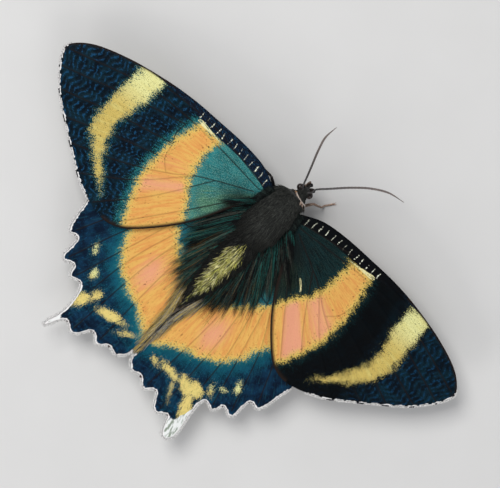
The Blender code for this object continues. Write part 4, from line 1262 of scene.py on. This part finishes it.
def add_proboscis():
    """The coiled tongue, a flat spiral of one and a half turns under the face."""
    start, _ = head_point((0.0, -0.45, -0.9), -0.15)
    radius, pitch, turns, count = 0.45, 0.85, 1.55, 90
    middle = start + (0, -0.3, -radius - pitch * turns - 0.05 - GAP)
    angle = np.linspace(0, math.tau * turns, count)
    reach = radius + pitch * angle / math.tau
    path = middle + np.stack([0 * angle, np.sin(angle - 0.3) * reach, np.cos(angle - 0.3) * reach], -1)
    radii = 0.2 * ringed(count, 0.05)
    radii[:6] = np.linspace(0.06, 0.18, 6)
    finish = horn_finish("proboscis", (0.05, 0.025, 0.012), (0.16, 0.08, 0.04))
    make_piece("tongue", *tube_mesh(path, radii, 12, np.array((1.0, 0.0, 0.0)), 0), finish,
               slot="horn", nodes=("proboscis",))


def leg_path(turn, y, knee, ankle, toe):
    """The leg's joints as a path, with the sole's height for the foot."""
    angle = math.radians(turn)
    half_width, half_height = between(y, THORAX), between(y, THORAX, 2)
    outward = unit(np.array((math.sin(angle) / half_width, 0, -math.cos(angle) / half_height)))
    root = np.array((half_width * math.sin(angle), y, THORAX_HEIGHT - half_height * math.cos(angle)))
    hip = root + outward * (GAP + 0.96)
    knee, ankle, toe = np.array(knee), np.array(ankle), np.array((*toe, FOOT_HEIGHT))
    heel = ankle + (toe - ankle) * 0.22
    heel[2] = FOOT_HEIGHT
    return root - outward * 0.3, hip, knee, ankle, heel, toe


def add_leg(name, side, turn, y, knee, ankle, toe, finish, scale_finish):
    """One leg: thigh, shin with spurs, five-part foot with two claws, and its scales."""
    root, hip, knee, ankle, heel, toe = leg_path(turn, y, knee, ankle, toe)
    flip = np.array((side, 1, 1))
    is_fore = name.startswith("leg_fore")
    slim = 0.58 if is_fore else 1.0
    parts, scaly = [], []
    for start, end, thick, thin in ((root, hip, 0.7, 0.6), (hip, knee, 0.5, 0.34),
                                    (knee, ankle, 0.32, 0.24)):
        share = np.linspace(0, 1, 14)
        path = (start + (end - start) * share[:, None]) * flip
        radii = (thick + (thin - thick) * share) * (1 + 0.14 * np.sin(share * math.pi)) * slim
        radii[[0, -1]] *= 0.75
        parts.append(tube_mesh(path, radii, 14))
        scaly.append((path, radii, int(np.linalg.norm(end - start) * 95)))
    foot = smooth_path([ankle, heel, (heel + toe) / 2, toe], 0.2) * flip
    foot[:, 2] = np.maximum(foot[:, 2], 0.24) - (0.06 if is_fore else 0.0)
    share = np.linspace(0, 1, len(foot))
    rings = 1.0 - 0.22 * (np.abs((share * 5) % 1 - 0.02) < 0.06)
    parts.append(tube_mesh(foot, 0.235 * rings * np.clip(1.15 - 0.3 * share, 0.6, 1) * slim, 12))
    scaly.append((foot, np.full(len(foot), 0.22 * slim), 260))

    def add_spike(points, step, thick, thin):
        path = smooth_path(points, step) * flip
        parts.append(tube_mesh(path, np.linspace(thick, thin, len(path)), 8))

    ahead, down = unit(toe - heel), unit(ankle - knee)
    aside, base = np.cross(ahead, UP), ankle - down * 0.25
    for way in (-1, 1):
        add_spike([toe, toe + ahead * 0.3 + aside * way * 0.18 + UP * 0.05,
                   toe + ahead * 0.55 + aside * way * 0.22 - UP * 0.18], 0.1, 0.09, 0.015)
        if not is_fore:
            lean = np.cross(down, (0, 1.0, 0)) * way * 0.35
            add_spike([base, base + down * 0.5 + lean * 0.6, base + down * 1.1 + lean], 0.2, 0.11, 0.02)
    make_piece(name + "_shell", *join_meshes(parts), finish, slot="horn", nodes=(name,))
    rng = np.random.default_rng(len(name) * 7 + side)
    tan = name == "leg_fore_right"
    low = np.array((0.62, 0.44, 0.33) if tan else (0.03, 0.028, 0.028))
    coats = []
    for path, radii, count in scaly:
        lines, widths, radial, _ = limb_scales(path, radii, count, 0.55, 0.12, rng, 0.1)
        coats.append((lines, widths, radial, low * (0.55 + 0.9 * rng.random((count, 1)))))
    lines, widths, radial, colour = (np.concatenate(group) for group in zip(*coats))
    height = lines[:, 0, 2]
    spot = np.stack([0.55 + 0.07 * list(LEGS).index(name) + 0 * height, 0.1 + height * 0.05], -1)
    add_coat("coat_" + name, lines, widths, radial, spot, colour * 0.6, colour, scale_finish)


# Setting

def add_setting():
    """Pale floor, soft studio lights and the camera at the photo's angle."""
    scene = bpy.context.scene
    scene.view_settings.view_transform = "Standard"
    scene.view_settings.look = "None"
    scene.world = bpy.data.worlds.new("room")
    scene.world.use_nodes = True
    sky = scene.world.node_tree.nodes["Background"]
    sky.inputs[0].default_value = (0.86, 0.9, 1.0, 1.0)
    sky.inputs[1].default_value = 0.34
    bpy.ops.object.select_all(action="DESELECT")
    bpy.ops.mesh.primitive_plane_add(size=3.0, location=(0, 0, 0))
    floor = bpy.context.object
    floor.name = "floor"
    f = Finish("floor")
    colour = f.mix(f.noise(f.place(), 60.0, 3.0), (0.60, 0.59, 0.57), (0.64, 0.63, 0.61))
    floor.data.materials.append(f.set(Base_Color=colour, Roughness=0.85))
    for name, place, power, size in (("key", (0.35, -0.15, 0.55), 1.0, 0.32),
                                     ("fill", (-0.5, 0.25, 0.45), 0.4, 0.5),
                                     ("rim", (0.05, 0.6, 0.35), 0.42, 0.3)):
        bpy.ops.object.light_add(type="AREA", location=place)
        lamp = bpy.context.object
        lamp.name = lamp.data.name = name
        lamp.data.energy = scene.moth_looks.light_power * power
        lamp.data.size = size
        lamp.rotation_euler = (-Vector(place)).to_track_quat("-Z", "Y").to_euler()
    add_camera()


def add_camera():
    toward = Vector((math.sin(CAMERA_LEAN_LEFT), math.sin(CAMERA_LEAN_FORWARD), 1.0)).normalized()
    right = Vector((-math.cos(CAMERA_ROLL), -math.sin(CAMERA_ROLL), 0.0))
    right = (right - toward * right.dot(toward)).normalized()
    bpy.ops.object.camera_add(location=CAMERA_LOOKS_AT + toward * CAMERA_DISTANCE)
    camera = bpy.context.object
    camera.rotation_euler = Matrix((right, toward.cross(right), toward)).transposed().to_euler()
    camera.data.lens = CAMERA_FOCAL / PICTURE_WIDTH * camera.data.sensor_width
    camera.data.clip_start = 0.01
    bpy.context.scene.camera = camera


# What a user can change, and the steps as operators

class MothLooks(bpy.types.PropertyGroup):
    """Sizes and colours of the moth's looks."""
    hair_share: FloatProperty(name="Hair", description="Share of the full number of hairs",
                              default=100.0, min=5.0, max=100.0, subtype="PERCENTAGE")
    # The right forewing uses this ground too, darkened there by painted shade
    ground: FloatVectorProperty(name="Wing ground", description="Dark blue of the left wings",
                                default=(0.0018, 0.0068, 0.013), size=3, subtype="COLOR")
    # The ripples' blue is a painted highlight on the ripple crests
    ripple: FloatVectorProperty(name="Wing ripples", description="Blue of the fine ripples",
                                default=(0.006, 0.052, 0.12), size=3, subtype="COLOR")
    teal: FloatVectorProperty(name="Wing base", description="Teal near the body and around the bands",
                              default=(0.022, 0.185, 0.19), size=3, subtype="COLOR")
    light_power: FloatProperty(name="Light", description="Power of the main light", default=3.3,
                               min=0.0, unit="POWER")


def tone(word, front_wing):
    """Ground, ripples, teal and band strength of one side's wings; the right forewing's darker copies are
    painted shade.
    """
    looks = bpy.context.scene.moth_looks
    ground, ripple, teal = tuple(looks.ground), tuple(looks.ripple), tuple(looks.teal)
    if not front_wing:
        return scaled(ground, 1.3, 1.5, 2.1), ripple, scaled(teal, 0.75 if word == "left" else 0.65), 1.0
    if word == "left":
        return ground, ripple, teal, 1.0
    # Painted shade: the right forewing, turned away from the light, gets dimmer ripples, a near-black teal
    # and slightly weaker bands
    return ground, scaled(ripple, 0.65), (0.0035, 0.022, 0.024), 0.97


class MOTH_OT_wings(bpy.types.Operator):
    """Builds the four wings with their fringes"""
    bl_idname = "moth.wings"
    bl_label = "Wings"

    def execute(self, context):
        for word in SIDES:
            for front_wing in (True, False):
                add_wing(word, front_wing, tone(word, front_wing))
                add_fringe(word, front_wing)
        return {"FINISHED"}


class MOTH_OT_body(bpy.types.Operator):
    """Builds the skin and all its hair"""
    bl_idname = "moth.body"
    bl_label = "Body"

    def execute(self, context):
        add_skin()
        add_body_hair()
        return {"FINISHED"}


class MOTH_OT_head(bpy.types.Operator):
    """Builds eyes, feelers, palps and tongue"""
    bl_idname = "moth.head"
    bl_label = "Head"

    def execute(self, context):
        add_eyes()
        for word in SIDES:
            add_antenna(word)
        scales = tuft_finish("face_scales", 0.6)
        add_eye_rims(scales)
        add_palps(scales)
        add_proboscis()
        return {"FINISHED"}


class MOTH_OT_legs(bpy.types.Operator):
    """Builds the six legs"""
    bl_idname = "moth.legs"
    bl_label = "Legs"

    def execute(self, context):
        dark = horn_finish("leg", (0.025, 0.02, 0.018), (0.09, 0.075, 0.065))
        tan = horn_finish("leg_tan", (0.3, 0.17, 0.12), (0.52, 0.36, 0.27))
        scales = tuft_finish("leg_scales", 0.55)
        for name, leg in LEGS.items():
            add_leg(name, *leg, tan if name == "leg_fore_right" else dark, scales)
        return {"FINISHED"}


class MOTH_OT_setting(bpy.types.Operator):
    """Builds floor, lights and camera"""
    bl_idname = "moth.setting"
    bl_label = "Setting"

    def execute(self, context):
        add_setting()
        return {"FINISHED"}


class MOTH_PT_panel(bpy.types.Panel):
    """Lists the moth's properties and steps"""
    bl_label = "Day Moth"
    bl_idname = "MOTH_PT_panel"
    bl_space_type = "VIEW_3D"
    bl_region_type = "UI"
    bl_category = "Moth"

    def draw(self, context):
        looks = context.scene.moth_looks
        for key in looks.bl_rna.properties.keys():
            if key not in ("rna_type", "name"):
                self.layout.prop(looks, key)
        for step in STEPS:
            self.layout.operator(step.bl_idname)


STEPS = (MOTH_OT_wings, MOTH_OT_body, MOTH_OT_head, MOTH_OT_legs, MOTH_OT_setting)


def register():
    for kind in (MothLooks, *STEPS, MOTH_PT_panel):
        bpy.utils.register_class(kind)
    bpy.types.Scene.moth_looks = PointerProperty(type=MothLooks)


def unregister():
    del bpy.types.Scene.moth_looks
    for kind in (MOTH_PT_panel, *reversed(STEPS), MothLooks):
        bpy.utils.unregister_class(kind)


def main():
    register()
    bpy.ops.moth.wings()
    bpy.ops.moth.body()
    bpy.ops.moth.head()
    bpy.ops.moth.legs()
    bpy.ops.moth.setting()


if __name__ == "__main__":
    main()
